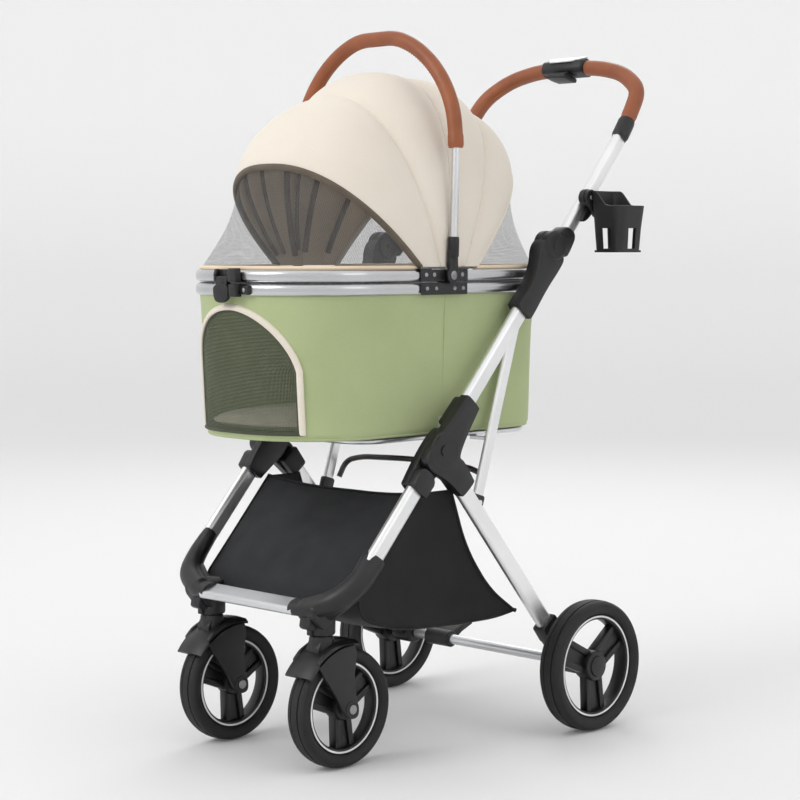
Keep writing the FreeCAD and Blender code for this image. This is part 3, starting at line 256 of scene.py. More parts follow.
# ---- casters ----------------------------------------------------------------------------------
# Each front wheel trails behind its post in a moulded fork: a hood over the top of the tyre,
# two broad cheeks down to the bolt, and a round boss that turns under the front casting.
black_moulding = moulded("black_moulding", (0.0085, 0.0085, 0.0095), 0.44, 1500.0, 0.10)
bolt_steel = moulded("bolt_steel", (0.30, 0.30, 0.31), 0.35, 2000.0, 0.05)
bolt_steel.node_tree.nodes["Principled BSDF"].inputs["Metallic"].default_value = 1.0


def loft(count, around, place):
    """A closed skin through count rings; place(i, a, b) puts a point of a unit circle on ring i."""
    bm = bmesh.new()
    rings = []
    for i in range(count):
        made = bmesh.ops.create_circle(bm, cap_ends=False, segments=around, radius=1.0)["verts"]
        for vert in made:
            vert.co = place(i, vert.co.x, vert.co.y)
        rings.append(list({e for v in made for e in v.link_edges}))
    for first, second in zip(rings, rings[1:]):
        bmesh.ops.bridge_loops(bm, edges=first + second)
    for last in (rings[0], rings[-1]):
        bmesh.ops.edgeloop_fill(bm, edges=last)
    bmesh.ops.recalc_face_normals(bm, faces=bm.faces[:])
    return bm


def sleeve(points, radii, around=20):
    """A closed round skin along a line of points; radii is one radius, or a pair for each point."""
    if isinstance(radii, float):
        radii = [(radii, radii)] * len(points)
    axes = []
    normal = None
    for i in range(len(points)):
        ahead = (points[min(i + 1, len(points) - 1)] - points[max(i - 1, 0)]).normalized()
        normal = normal or ahead.orthogonal().normalized()
        normal = (normal - ahead * normal.dot(ahead)).normalized()
        axes.append((normal, ahead.cross(normal)))
    return loft(len(points), around, lambda i, a, b: points[i] + axes[i][0] * (a * radii[i][0])
                + axes[i][1] * (b * radii[i][1]))


def standing(x, y, rings):
    """An upright round post; rings gives its (radius, height) from the foot up."""
    return sleeve([Vector((x, y, z)) for r, z in rings], [(r, r) for r, z in rings], 32)


for side, word in ((1, "left"), (-1, "right")):
    low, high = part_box("front_tyre_" + word)
    hub = (low + high) / 2
    tyre_r, half = (high.z - low.z) / 2, (high.x - low.x) / 2
    stem_y = hub.y - 0.034
    arm_in, arm_out = half + 0.0035, half + 0.0095
    inner, outer = tyre_r + 0.0045, tyre_r + 0.0115
    hood = bmesh.new()
    rim = [(inner, -arm_out), (inner, arm_out), (outer - 0.004, arm_out), (outer, arm_out - 0.006),
           (outer + 0.0012, 0), (outer, 0.006 - arm_out), (outer - 0.004, -arm_out)]
    verts = [hood.verts.new((hub.x + across, hub.y, hub.z + r)) for r, across in rim]
    bmesh.ops.rotate(hood, verts=verts, cent=hub, matrix=Matrix.Rotation(math.radians(-8), 3, "X"))
    face = hood.faces.new(verts)
    bmesh.ops.spin(hood, geom=[face], cent=hub, axis=(1, 0, 0), angle=math.radians(64), steps=20)
    bmesh.ops.recalc_face_normals(hood, faces=hood.faces[:])
    cheek = [(0.0145, -0.004), (0.012, -0.0125), (0.002, -0.0150), (-0.010, -0.0105), (-0.030, 0.022),
             (-0.052, 0.052), (-0.0655, 0.0735), (-0.052, 0.0865), (-0.034, 0.095), (0.006, 0.0955), (0.0105, 0.080),
             (0.0060, 0.050), (0.0085, 0.022)]
    shapes = [hood]
    for face_side in (-1, 1):
        x = sorted((hub.x + face_side * arm_in, hub.x + face_side * arm_out))
        shapes.append(plate([(hub.y + y, hub.z + z) for y, z in cheek], x[0], x[1], 0.004, 0.0014))
        x = sorted((hub.x + face_side * (arm_out - 0.001), hub.x + face_side * (arm_out + 0.0012)))
        shapes.append(barrel(0.0125, x[0], x[1], hub.y, hub.z, 0.0006))
    rings = [(0.0165, 0.167), (0.0175, 0.172), (0.0178, 0.186), (0.0176, 0.192), (0.0165, 0.195), (0.0155, 0.1965)]
    shapes.append(standing(hub.x, stem_y, rings))
    shapes.append(plate([(hub.y - 0.047, 0.155), (hub.y - 0.052, 0.178), (hub.y - 0.046, 0.190), (hub.y - 0.020, 0.190),
                         (hub.y + 0.002, 0.1865), (hub.y + 0.002, 0.176), (hub.y - 0.030, 0.1745)],
                        hub.x - 0.013, hub.x + 0.013, 0.003, 0.0016))
    as_piece(joined(*shapes), "caster_body_" + word, black_moulding, "caster_" + word,
             ["caster_fork_" + word])
    bolts = [barrel(0.0068, hub.x + arm_out + 0.0010, hub.x + arm_out + 0.0030, hub.y, hub.z, 0.0008),
             barrel(0.0065, hub.x - arm_out - 0.0030, hub.x - arm_out - 0.0010, hub.y, hub.z, 0.0008),
             barrel(0.0040, hub.x - arm_out, hub.x + arm_out, hub.y, hub.z, 0.0003)]
    as_piece(joined(*bolts), "caster_bolt_" + word, bolt_steel, "caster_" + word)

# ---- front castings and footbar ---------------------------------------------------------------
# A black casting takes the end of each front tube, turns inward to the aluminium footbar and
# carries the caster's post; a small tab on its nose locks the swivel.


def brushed(name, colour, rough, stretch, turn=0.0, coat=0.0):
    """Anodised or brushed aluminium: long fine streaks along the tube."""
    finish, nodes, links, shader = new_finish(name, colour, rough, 1.0)
    streaks = speckle(nodes, links, 900.0, 2.0, stretch, turn)
    broad = speckle(nodes, links, 9.0, 2.0)
    tinted(nodes, links, broad, [c * 0.94 for c in colour], [min(1, c * 1.04) for c in colour],
           shader.inputs["Base Color"])
    ranged(nodes, links, streaks, rough - 0.06, rough + 0.08, shader.inputs["Roughness"])
    raised(nodes, links, streaks, shader, 0.06, 0.0002)
    shader.inputs["Coat Weight"].default_value = coat
    return finish


def repaint(node, finish):
    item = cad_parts[node]
    item.data.materials.clear()
    item.data.materials.append(finish)


def mirror_x(bm):
    """The same shape on the other side too."""
    bmesh.ops.mirror(bm, geom=bm.verts[:] + bm.edges[:] + bm.faces[:], axis="X", merge_dist=-1)
    bmesh.ops.recalc_face_normals(bm, faces=bm.faces[:])
    return bm


def paced(points, count):
    """The index and share of even steps along a line of points."""
    lengths = [0.0]
    for a, b in zip(points, points[1:]):
        lengths.append(lengths[-1] + math.dist(a, b))
    at = 0
    for k in range(count + 1):
        want = lengths[-1] * k / count
        while at < len(points) - 2 and lengths[at + 1] < want:
            at += 1
        share = (want - lengths[at]) / max(lengths[at + 1] - lengths[at], 1e-9)
        yield at, min(max(share, 0), 1)


def even(line, count=160):
    return [line[at].lerp(line[at + 1], share) for at, share in paced(line, count)]


def soft_line(points, steps):
    """Even points along straight runs joined by smooth bends."""
    points = [Vector(p) for p in points]
    line = [points[0]]
    for before, here, after in zip(points, points[1:], points[2:]):
        reach = 0.47 * min((before - here).length, (after - here).length)
        a = here + (before - here).normalized() * reach
        b = here + (after - here).normalized() * reach
        line += [a.lerp(here, t).lerp(here.lerp(b, t), t) for t in [k / 12 for k in range(13)]]
    return even(line + [points[-1]], steps)


LEAN = math.radians(41.5)
frame_x = 0.182
hip = Vector((frame_x, -0.077, 0.452))


def spread(origin, way, *pairs):
    """Points given as (reach, offset): so far along the way, and so far to its back or upper side."""
    out = Vector((0, way.z, -way.y))
    return [origin + way * reach + out * offset for reach, offset in pairs]


def on_line(reach, offset=0.0, x=frame_x):
    """A point on the main tube's line above the hip, offset to the back of it."""
    return Vector((x, hip.y + reach * math.sin(LEAN) + offset * math.cos(LEAN),
                   hip.z + reach * math.cos(LEAN) - offset * math.sin(LEAN)))


tube_satin = brushed("tube_satin", (0.88, 0.885, 0.89), 0.38, (1, 1, 0.02), LEAN)
bar_satin = brushed("bar_satin", (0.70, 0.71, 0.725), 0.34, (0.02, 1, 1))
low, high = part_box("footbar")
bar_y, bar_z = (low.y + high.y) / 2, (low.z + high.z) / 2
tube_end = on_line(-0.226)
down = (tube_end - hip).normalized()
post_x, post_y = 0.122, -0.252
route = soft_line([tube_end - down * 0.022, tube_end + down * 0.010, (frame_x - 0.016, bar_y + 0.016, bar_z + 0.016),
                   (high.x + 0.024, bar_y + 0.002, bar_z + 0.001), (high.x - 0.008, bar_y, bar_z)], 30)
widths = []
for i in range(31):
    t = i / 30
    widths.append((0.0125 + 0.0045 * min(t * 2, 1), 0.0172 - 0.0012 * t) if t < 0.86 else (0.0172, 0.0120))
elbow = sleeve(route, [(b, a) for a, b in widths], 28)
collar = soft_line([tube_end - down * 0.034, tube_end - down * 0.010], 6)
collar = sleeve(collar, [(0.0164, 0.0108), (0.0172, 0.0116), (0.0176, 0.0120), (0.0176, 0.0122), (0.0175, 0.0122),
                         (0.0172, 0.0120), (0.0166, 0.0116)], 28)
shoulder = soft_line([(frame_x - 0.006, post_y + 0.012, 0.262), (frame_x - 0.030, post_y + 0.002, 0.244),
                      (post_x + 0.004, post_y - 0.002, 0.228), (post_x, post_y, 0.204)], 16)
shoulder = sleeve(shoulder, [(0.0125 + 0.0060 * k / 16, 0.0150 + 0.0035 * k / 16) for k in range(17)], 24)
rings = [(0.0190, 0.1975), (0.0202, 0.2000), (0.0204, 0.2180), (0.0200, 0.2380), (0.0178, 0.2470), (0.0120, 0.2510)]
post = standing(post_x, post_y, rings)
nose = plate([(post_y - 0.036, 0.2300), (post_y - 0.036, 0.2440), (post_y, 0.2480), (post_y + 0.012, 0.226),
              (post_y - 0.004, 0.208), (post_y - 0.018, 0.208)], post_x - 0.017, post_x + 0.022, 0.006, 0.004)
lock_house = plate([(post_y - 0.034, 0.2105), (post_y - 0.031, 0.2270), (post_y - 0.014, 0.2300),
                    (post_y - 0.014, 0.2060),
                    (post_y - 0.027, 0.2060)], post_x - 0.0105, post_x + 0.0105, 0.003, 0.0018)
as_piece(mirror_x(joined(elbow, collar, shoulder, post, nose, lock_house)), "front_corner", black_moulding,
         "front_legs",
         ["front_castings"])
repaint("footbar", bar_satin)
repaint("front_tubes", tube_satin)
for word in ("left", "right"):
    repaint("caster_lock_" + word, black_moulding)

# ---- side frames ------------------------------------------------------------------------------
# Flat-oval tubes in moulded joints: the hip housing forks to the rear leg, and the front leg's
# knuckle turns inside it. The handle folds forward on a second round joint higher up.


def band(start, end, wide0, wide1, x0, x1, corner=0.003, edge=0.002):
    way = (end - start).normalized()
    out = Vector((0, -way.z, way.y))
    ends = [start + out * wide0 / 2, end + out * wide1 / 2, end - out * wide1 / 2, start - out * wide0 / 2]
    return plate([(p.y, p.z) for p in ends], x0, x1, corner, edge)


leg_end = Vector((frame_x, 0.166, 0.160))
back = (leg_end - hip).normalized()
lift = Vector((0, math.sin(LEAN), math.cos(LEAN)))
leg_satin = brushed("leg_satin", (0.92, 0.92, 0.925), 0.38, (1, 1, 0.02), back.yz.angle_signed(Vector((0, -1))))
in_x, out_x = frame_x - 0.0150, frame_x + 0.0150
split_in, split_out = frame_x - 0.0004, frame_x + 0.0004
socket_x = frame_x - 0.0122


def rounded(points, times=3):
    """A closed outline with every corner worn round."""
    for _ in range(times):
        points = [a.lerp(b, t) for a, b in zip(points, points[1:] + points[:1]) for t in (0.25, 0.75)]
    return [(p.y, p.z) for p in points]


def pressed_ring(radii, low_x, high_x, centre):
    """A fine raised ring round a pivot."""
    ring = list(zip(radii, (low_x, high_x, high_x, low_x)))
    return mirror_x(turned(ring, (0, centre.y, centre.z), 56))


cover = spread(hip, lift, (0.092, -0.0160), (0.088, -0.0168), (0.046, -0.0186), (0.004, -0.0230), (-0.030, -0.0240),
               (-0.041, -0.0080))
cover += spread(hip, back, (0.036, 0.0235), (0.074, 0.0170), (0.079, 0.0160), (0.079, -0.0160), (0.074, -0.0170),
                (0.038, -0.0200))
cover += spread(hip, lift, (0.010, 0.0300), (0.046, 0.0215), (0.088, 0.0168), (0.092, 0.0160))
housing = [plate(rounded(cover), split_out, out_x, 0, 0.0042),
           band(on_line(0.036), on_line(0.089), 0.038, 0.0325, socket_x, out_x - 0.0030, 0.005, 0.004),
           band(hip + back * 0.0400, hip + back * 0.0765, 0.036, 0.0325, socket_x, out_x - 0.0030, 0.005, 0.004)]
as_piece(mirror_x(joined(*housing)), "hip_cover", black_moulding, "frame", ["hip_housings"])
neck = spread(hip, down, (-0.006, 0.0225), (0.034, 0.0215), (0.070, 0.0172), (0.0760, 0.0160), (0.0760, -0.0160),
              (0.070, -0.0168), (0.034, -0.0240), (0.010, -0.0290), (-0.032, -0.012), (-0.034, 0.016))
socket = spread(hip, down, (0.0405, 0.0205), (0.070, 0.0170), (0.0760, 0.0160), (0.0760, -0.0160), (0.070, -0.0170),
                (0.0405, -0.0190))
knuckle = [plate(rounded(neck), in_x, split_in, 0, 0.0036),
           plate(rounded(socket, 2), frame_x - 0.0124, frame_x + 0.0134, 0, 0.0040)]
as_piece(mirror_x(joined(*knuckle)), "hip_knuckle", black_moulding, "front_legs")
as_piece(pressed_ring((0.0246, 0.0262, 0.0272, 0.0288), out_x - 0.0006, out_x + 0.0005, hip), "hip_button",
         black_moulding, "frame")

knee_reach = 0.38190
knee = on_line(knee_reach, -0.015)
knee_line = on_line(knee_reach)
shin = spread(knee_line, lift, (0.004, 0.0150), (0.006, -0.0340), (-0.022, -0.0400), (-0.044, -0.0230),
              (-0.074, -0.0160), (-0.116, -0.0180), (-0.122, -0.0165), (-0.122, 0.0165), (-0.112, 0.0180),
              (-0.060, 0.0150), (-0.020, 0.0175))
lower = [barrel(0.0232, split_out, out_x + 0.0012, knee.y, knee.z, 0.0034, 56),
         plate(rounded(shin), socket_x, out_x - 0.0022, 0, 0.0042)]
as_piece(mirror_x(joined(*lower)), "fold_joint_low", black_moulding, "frame", ["lower_fold_joints"])
brow = spread(knee_line, lift, (0.0004, 0.0180), (0.0004, -0.0220), (0.024, -0.0200), (0.044, -0.0130),
              (0.047, 0.0125), (0.020, 0.0180))
upper = [barrel(0.0228, in_x, split_in, knee.y, knee.z, 0.0030, 56),
         plate(rounded(brow, 2), frame_x - 0.0124, frame_x + 0.0122, 0, 0.0036)]
as_piece(mirror_x(joined(*upper)), "fold_joint_high", black_moulding, "handle",
         ["upper_fold_joints"])
as_piece(pressed_ring((0.0158, 0.0170, 0.0180, 0.0192), out_x + 0.0006, out_x + 0.0018, knee), "fold_button",
         black_moulding, "frame")
for node in ("main_tubes", "struts"):
    repaint(node, tube_satin)
repaint("rear_legs", leg_satin)
repaint("fold_pins", black_moulding)

# ---- rear brackets, axle and brake --------------------------------------------------------------
# The legs end in moulded brackets on a steel axle inside an aluminium sleeve. A small pedal on
# the sleeve pushes a pin into each rear hub.
axle_y, axle_z = 0.218, 0.101
bracket = [band(leg_end - back * 0.016, leg_end + back * 0.016, 0.035, 0.037, frame_x - 0.0124, frame_x + 0.0124,
                0.004, 0.003),
           band(leg_end + back * 0.006, Vector((frame_x, axle_y, axle_z)), 0.036, 0.030, frame_x - 0.0120,
                frame_x + 0.0122, 0.004, 0.003),
           barrel(0.0172, frame_x - 0.0240, 0.2000, axle_y, axle_z, 0.0020, 40),
           barrel(0.0062, frame_x + 0.0060, 0.2000, axle_y + 0.018, axle_z, 0.0010, 24)]
as_piece(mirror_x(joined(*bracket)), "axle_bracket", black_moulding, "frame", ["rear_brackets"])
rivet = turned([(0, frame_x + 0.0140), (0.0030, frame_x + 0.0136), (0.0044, frame_x + 0.0122),
                (0, frame_x + 0.0120)], (0, leg_end.y, leg_end.z), 24)
as_piece(mirror_x(rivet), "bracket_rivet", bolt_steel, "frame")
repaint("rear_axle", bar_satin)
for word in ("left", "right"):
    repaint("brake_pin_" + word, bolt_steel)
low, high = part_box("brake_pedal")
tread = [(0.004, 0.010), (0.028, 0.0205), (0.0515, 0.0262), (0.0535, 0.0190), (0.028, 0.0085), (0.006, -0.006)]
pedal = [barrel(0.0135, low.x, high.x, axle_y, axle_z, 0.0015, 40),
         plate([(axle_y + y, axle_z + z) for y, z in tread], low.x + 0.004, high.x - 0.004, 0.002, 0.0015)]
for k in range(4):
    y = axle_y + 0.028 + 0.006 * k
    z = axle_z + 0.0212 + 0.0016 * k
    pedal.append(plate([(y, z - 0.001), (y + 0.0022, z - 0.0008), (y + 0.0022, z + 0.0016), (y, z + 0.0012)],
                       low.x + 0.009, high.x - 0.009, 0, 0.0004))
as_piece(joined(*pedal), "brake_tread", black_moulding, "brake_pedal", ["brake_pedal"])

# ---- cradle -------------------------------------------------------------------------------------
# A slim aluminium loop under the carrier, held by four arms on the hips and struts, with dark
# feet for the carrier and a bronze-painted cross bar behind the hips.
bronze_paint = moulded("bronze_paint", (0.120, 0.112, 0.105), 0.38, 1500.0, 0.05)
bronze_paint.node_tree.nodes["Principled BSDF"].inputs["Metallic"].default_value = 0.6
repaint("cradle", bar_satin)
repaint("cross_bar", bronze_paint)
low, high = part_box("cradle")
pads = [slab(y - 0.022, y + 0.022, high.z - 0.010, high.z - 0.0005, 0.1215, 0.1375, 0.002, 0.0015)
        for y in (-0.105, 0.115)]
strut_foot = Vector((0.1655, 0.022, 0.366))
strut_top = Vector((0.1655, 0.106, 0.634))
strut_way = (strut_top - strut_foot).normalized()
pads += [band(strut_foot - strut_way * 0.016, strut_foot + strut_way * 0.012, 0.0225, 0.0235, 0.1605, 0.1702,
              0.004, 0.0015),
         band(strut_top - strut_way * 0.004, strut_top + strut_way * 0.016, 0.0235, 0.0225, 0.1605, 0.1702,
              0.004, 0.0015)]
as_piece(mirror_x(joined(*pads)), "cradle_feet", black_moulding, "frame")
arm_y = strut_foot.y + (0.465 - strut_foot.z) * strut_way.y / strut_way.z
rivet = turned([(0, 0.1545), (0.0040, 0.1550), (0.0055, 0.1575), (0, 0.1580)], (0, arm_y, 0.4602), 24)
as_piece(mirror_x(rivet), "cradle_rivets", bolt_steel, "frame")

# ---- carrier tub --------------------------------------------------------------------------------
# Sage canvas over a stiff liner, hung from the lower rail: an oval tub with an arched doorway in
# its rounded front, a welt round its foot and a straight seam down each side.
TAU = math.tau


def computed(nodes, links, operation, *values):
    """The output of a Math node; each value is a number or another node's output."""
    step = nodes.new("ShaderNodeMath")
    step.operation = operation
    for place, value in zip(step.inputs, values):
        if isinstance(value, (int, float)):
            place.default_value = value
        else:
            links.new(value, place)
    return step.outputs[0]


def cloth_axes(nodes, links):
    """The cloth's own two directions."""
    split = nodes.new("ShaderNodeSeparateXYZ")
    links.new(nodes.new("ShaderNodeTexCoord").outputs["UV"], split.inputs["Vector"])
    return split.outputs["X"], split.outputs["Y"]


def woven(name, dark, light, threads, rough=0.88, strength=0.25, sheen=0.15, broad=16.0):
    """Plain-woven cloth: threads across and along, with a soft mottle in its dye."""
    finish, nodes, links, shader = new_finish(name, light, rough)
    waves = [computed(nodes, links, "SINE", computed(nodes, links, "MULTIPLY", way, TAU * count))
             for way, count in zip(cloth_axes(nodes, links), threads)]
    cross = computed(nodes, links, "MULTIPLY", *waves)
    mottle = speckle(nodes, links, broad, 4.0)
    fleck = speckle(nodes, links, 700.0, 1.0)
    dye = computed(nodes, links, "MULTIPLY_ADD", fleck, 0.35, computed(nodes, links, "MULTIPLY", mottle, 0.65))
    dye = computed(nodes, links, "MULTIPLY_ADD", cross, 0.07, dye)
    tinted(nodes, links, dye, dark, light, shader.inputs["Base Color"])
    raised(nodes, links, computed(nodes, links, "MULTIPLY_ADD", cross, 0.5, fleck), shader, strength, 0.0004)
    shader.inputs["Sheen Weight"].default_value = sheen
    shader.inputs["Sheen Roughness"].default_value = 0.5
    shader.inputs["Specular IOR Level"].default_value = 0.25
    return finish


def skin(across, along, place, wrap=False):
    """A cloth cut as a grid, each of its points put in its place; wrap joins its two sides."""
    bm = bmesh.new()
    bm.loops.layers.uv.new("UVMap")
    bmesh.ops.create_grid(bm, x_segments=across, y_segments=along, size=1.0, calc_uvs=True)
    for vert in bm.verts:
        vert.co = place((vert.co.x + 1) / 2, (vert.co.y + 1) / 2)
    if wrap:
        bmesh.ops.remove_doubles(bm, verts=bm.verts[:], dist=1e-6)
    return bm


def facing(bm, middle):
    """Cloth whose outer face looks away from its middle."""
    bm.normal_update()
    lean = sum((f.calc_center_median() - Vector(middle)).dot(f.normal) * f.calc_area() for f in bm.faces)
    if lean < 0:
        bmesh.ops.reverse_faces(bm, faces=bm.faces[:])
    return bm


def thick(bm, inward, lining=0):
    """The same cloth with a thickness, laid inward of the face that shows."""
    mesh = bpy.data.meshes.new("cloth")
    bm.to_mesh(mesh)
    bm.free()
    item = bpy.data.objects.new("cloth", mesh)
    bpy.context.collection.objects.link(item)
    for k in range(1 + lining):
        mesh.materials.append(None)
    body = item.modifiers.new("body", "SOLIDIFY")
    body.thickness = inward
    body.offset = -1.0
    body.material_offset = lining
    body.material_offset_rim = 0
    view = bpy.context.evaluated_depsgraph_get()
    made = bpy.data.meshes.new_from_object(item.evaluated_get(view))
    out = bmesh.new()
    out.from_mesh(made)
    bpy.data.objects.remove(item)
    bpy.data.meshes.remove(made)
    return out


low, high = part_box("lower_rail")
wide, front_y, rear_y = high.x, low.y, high.y
rail_foot, rail_top = low.z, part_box("front_upper_rail")[1].z
tub_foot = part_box("tub")[0].z
FRONT_R, REAR_R = 0.145, 0.085


def oval(inset, z, count):
    """Even points round the carrier's outline, from the middle of the back, left side first."""
    x, f, r = wide - inset, front_y + inset, rear_y - inset
    fr, rr = FRONT_R - inset, REAR_R - inset
    path = [(0, r)]
    for k in range(25):
        a = math.pi / 2 * (1 - k / 24)
        path.append((x - rr + rr * math.cos(a), r - rr + rr * math.sin(a)))
    for k in range(33):
        a = -math.pi / 2 * k / 32
        path.append((x - fr + fr * math.cos(a), f + fr + fr * math.sin(a)))
    path += [(-px, py) for px, py in reversed(path)]
    out = []
    for at, share in paced(path, count):
        (ax, ay), (bx, by) = path[at], path[at + 1]
        out.append(Vector((ax + (bx - ax) * share, ay + (by - ay) * share, z)))
    return out


AROUND = 360
tops = oval(0.006, 0, AROUND)
feet = oval(0.015, 0, AROUND)
middle = Vector((0, -0.05, 0.58))


def tub_wall(u, v):
    k = u * AROUND
    i = min(int(round(k)), AROUND)
    z = tub_foot + (rail_foot + 0.002 - tub_foot) * v
    here = feet[i].lerp(tops[i], v ** 0.8)
    outward = Vector((here.x, here.y + 0.05, 0)).normalized()
    loose = math.sin(math.pi * v)
    ripple = noise.noise(Vector((here.x * 7, here.y * 7, z * 3))) * 0.0030
    ripple += noise.noise(Vector((here.x * 19, here.y * 19, z * 7 + 3))) * 0.0010
    round_foot = 0.006 * max(0.0, 1 - v / 0.05) ** 2
    here = here + outward * (loose * (ripple - 0.0015) - round_foot)
    return Vector((here.x, here.y, z))


door_low, door_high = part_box("door_flap")
door_half, door_sill, door_top = door_high.x + 0.001, door_low.z - 0.001, door_high.z + 0.001
spring = door_sill + 0.5 * (door_top - door_sill)
rise = door_top - spring
arch_r = (door_half ** 2 + rise ** 2) / (2 * rise)
arch_z = door_top - arch_r


def in_door(p, grow=0.0):
    if p.y > -0.10 or abs(p.x) > door_half + grow or p.z < door_sill - grow:
        return False
    return p.z < spring or math.hypot(p.x, p.z - arch_z) < arch_r + grow


def to_door_edge(p):
    """The nearest point of the doorway's outline, across and up."""
    if p.z > spring:
        out = Vector((p.x, 0, p.z - arch_z)).normalized() * arch_r
        return out.x, arch_z + out.z
    if p.z - door_sill < door_half - abs(p.x) and p.z < door_sill + 0.01:
        return p.x, door_sill
    return math.copysign(door_half, p.x), max(p.z, door_sill)


def front_wall(x, z, out=0.0):
    """A point on the tub's rounded front."""
    v = min(max((z - tub_foot) / (rail_foot - tub_foot), 0), 1)
    inset = 0.015 + (0.006 - 0.015) * v ** 0.8 - out
    past = max(abs(x) - (wide - FRONT_R), 0)
    return Vector((x, front_y + FRONT_R - math.sqrt(max((FRONT_R - inset) ** 2 - past ** 2, 0)), z))


sage_canvas = woven("sage_canvas", (0.365, 0.425, 0.220), (0.430, 0.495, 0.265), (900, 120), 0.72, 0.16, 0.12, 9.0)
sage_lining = woven("sage_lining", (0.17, 0.20, 0.10), (0.22, 0.26, 0.13), (900, 120), 0.85, 0.12, 0.1)
bm = skin(AROUND, 52, tub_wall, True)
bmesh.ops.delete(bm, geom=[f for f in bm.faces if in_door(f.calc_center_median())], context="FACES")
for vert in bm.verts:
    z = vert.co.z
    if vert.is_boundary and in_door(vert.co, 0.012) and tub_foot + 0.003 <= z < rail_foot - 0.004:
        vert.co = front_wall(*to_door_edge(vert.co))
tub = thick(facing(bm, middle), 0.0035, 1)
as_piece(tub, "tub_canvas", [sage_canvas, sage_lining], "carrier", ["tub"], 50)


def welt(points, radius, name, finish, body, around=12):
    return as_piece(sleeve(points, [(radius, radius)] * len(points), around), name, finish, body)


board_black = moulded("board_black", (0.03, 0.03, 0.03), 0.7, 700.0, 0.2)
ring = oval(0.0205, tub_foot + 0.0025, 200)
as_piece(prism(ring[:-1], (0, 0, 0.0035)), "tub_board", board_black, "carrier")
foot_ring = [p + Vector((0, 0, tub_foot + 0.0030)) for p in oval(0.0188, 0, 240)]
welt(foot_ring, 0.0026, "foot_welt", sage_canvas, "carrier", 10)
seams = []
for x_side in (1, -1):
    line = []
    for k in range(25):
        z = tub_foot + 0.004 + (rail_foot - tub_foot - 0.006) * k / 24
        v = (z - tub_foot) / (rail_foot - tub_foot)
        line.append(Vector((x_side * (wide - 0.015 + 0.009 * v ** 0.8 - 0.0012), -0.034, z)))
    seams.append(sleeve(line, 0.0018, 8))
as_piece(joined(*seams), "side_seams", sage_canvas, "carrier")

# ---- doorway --------------------------------------------------------------------------------------
# A net door zipped into the arch, with a broad cream binding sewn round the opening and a dark
# cloth hem along its foot. The door folds down from its sill.


def net(name, colour, cells, thread):
    """Open netting: thin threads both ways, with holes between them."""
    finish, nodes, links, shader = new_finish(name, colour, 0.6)
    lines = []
    for way, count in zip(cloth_axes(nodes, links), cells):
        part = computed(nodes, links, "FRACT", computed(nodes, links, "MULTIPLY", way, count))
        lines.append(computed(nodes, links, "LESS_THAN", part, thread))
    links.new(computed(nodes, links, "MAXIMUM", *lines), shader.inputs["Alpha"])
    tone = speckle(nodes, links, 60.0)
    tinted(nodes, links, tone, [c * 0.85 for c in colour], [min(1, c * 1.1) for c in colour],
           shader.inputs["Base Color"])
    return finish


cream_binding = woven("cream_binding", (0.68, 0.62, 0.52), (0.80, 0.74, 0.64), (60, 8), 0.9, 0.2, 0.2)
grey_net = net("grey_net", (0.19, 0.19, 0.19), (230, 72), 0.15)
door_net = net("door_net", (0.14, 0.16, 0.10), (110, 90), 0.26)


def door_place(u, v):
    z = door_sill + 0.002 + (door_top - door_sill - 0.004) * v
    half = door_half - 0.002 if z < spring else math.sqrt(max((arch_r - 0.002) ** 2 - (z - arch_z) ** 2, 0))
    here = front_wall((2 * u - 1) * half, z, -0.0012)
    here.y += 0.004 * math.sin(math.pi * u) * math.sin(math.pi * v)
    return here


as_piece(facing(skin(48, 40, door_place), (0, 0.1, 0.57)), "door_net_panel", door_net, "door",
         ["door_flap"])
edge = []
for k in range(61):
    t = k / 60
    if t < 0.25:
        edge.append((door_half, door_sill + (spring - door_sill) * t / 0.25))
    elif t > 0.75:
        edge.append((-door_half, spring - (spring - door_sill) * (t - 0.75) / 0.25))
    else:
        a0 = math.atan2(spring - arch_z, door_half)
        a = a0 + (math.pi - 2 * a0) * (t - 0.25) / 0.5
        edge.append((arch_r * math.cos(a), arch_z + arch_r * math.sin(a)))
line = [front_wall(x, z, 0.0004) for x, z in edge]
piping = sleeve(line, [(0.0050, 0.0030)] * len(line), 14)
as_piece(piping, "door_binding", cream_binding, "carrier")
hem_in = 0.0055
inner_edge = [front_wall(x * (1 - hem_in / 0.107), z if z < spring else arch_z + (z - arch_z) * (1 - hem_in / arch_r),
                         -0.0016) for x, z in edge]
dark_tape = woven("dark_tape", (0.05, 0.055, 0.04), (0.08, 0.085, 0.06), (90, 6), 0.9, 0.2, 0.1)
as_piece(sleeve(inner_edge, 0.0018, 8), "door_hem", dark_tape, "door")
sill_line = [front_wall(-door_half + 2 * door_half * k / 40, door_sill + 0.001, 0.0) for k in range(41)]
as_piece(sleeve(sill_line, [(0.0028, 0.0022)] * 41, 10), "door_sill_tape", dark_tape, "door")

# ---- mat --------------------------------------------------------------------------------------------
# A filled linen mat on the tub's floor: crowned in the middle, pulled in at its edge by a welt.
linen = woven("linen", (0.30, 0.265, 0.215), (0.43, 0.385, 0.32), (260, 60), 0.95, 0.35, 0.3, 30.0)
low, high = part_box("cushion")
mat_middle = Vector((0, (low.y + high.y) / 2, (low.z + high.z) / 2))
mat_inset = wide - high.x
rims = oval(mat_inset, 0, 180)


def mat_top(u, v, way=1):
    i = int(round(u * 180))
    rim = rims[i]
    share = v ** 0.6
    flat = Vector((0, mat_middle.y, 0)).lerp(Vector((rim.x, rim.y, 0)), share)
    thick_half = (high.z - low.z) / 2
    lift = thick_half * (1 - share ** 5) ** 0.5 * (1.0 if way > 0 else 0.96)
    lift += 0.004 * noise.noise(Vector((flat.x * 16, flat.y * 16, way))) * (1 - share ** 4) * (way > 0)
    return Vector((flat.x, flat.y, mat_middle.z + way * lift))


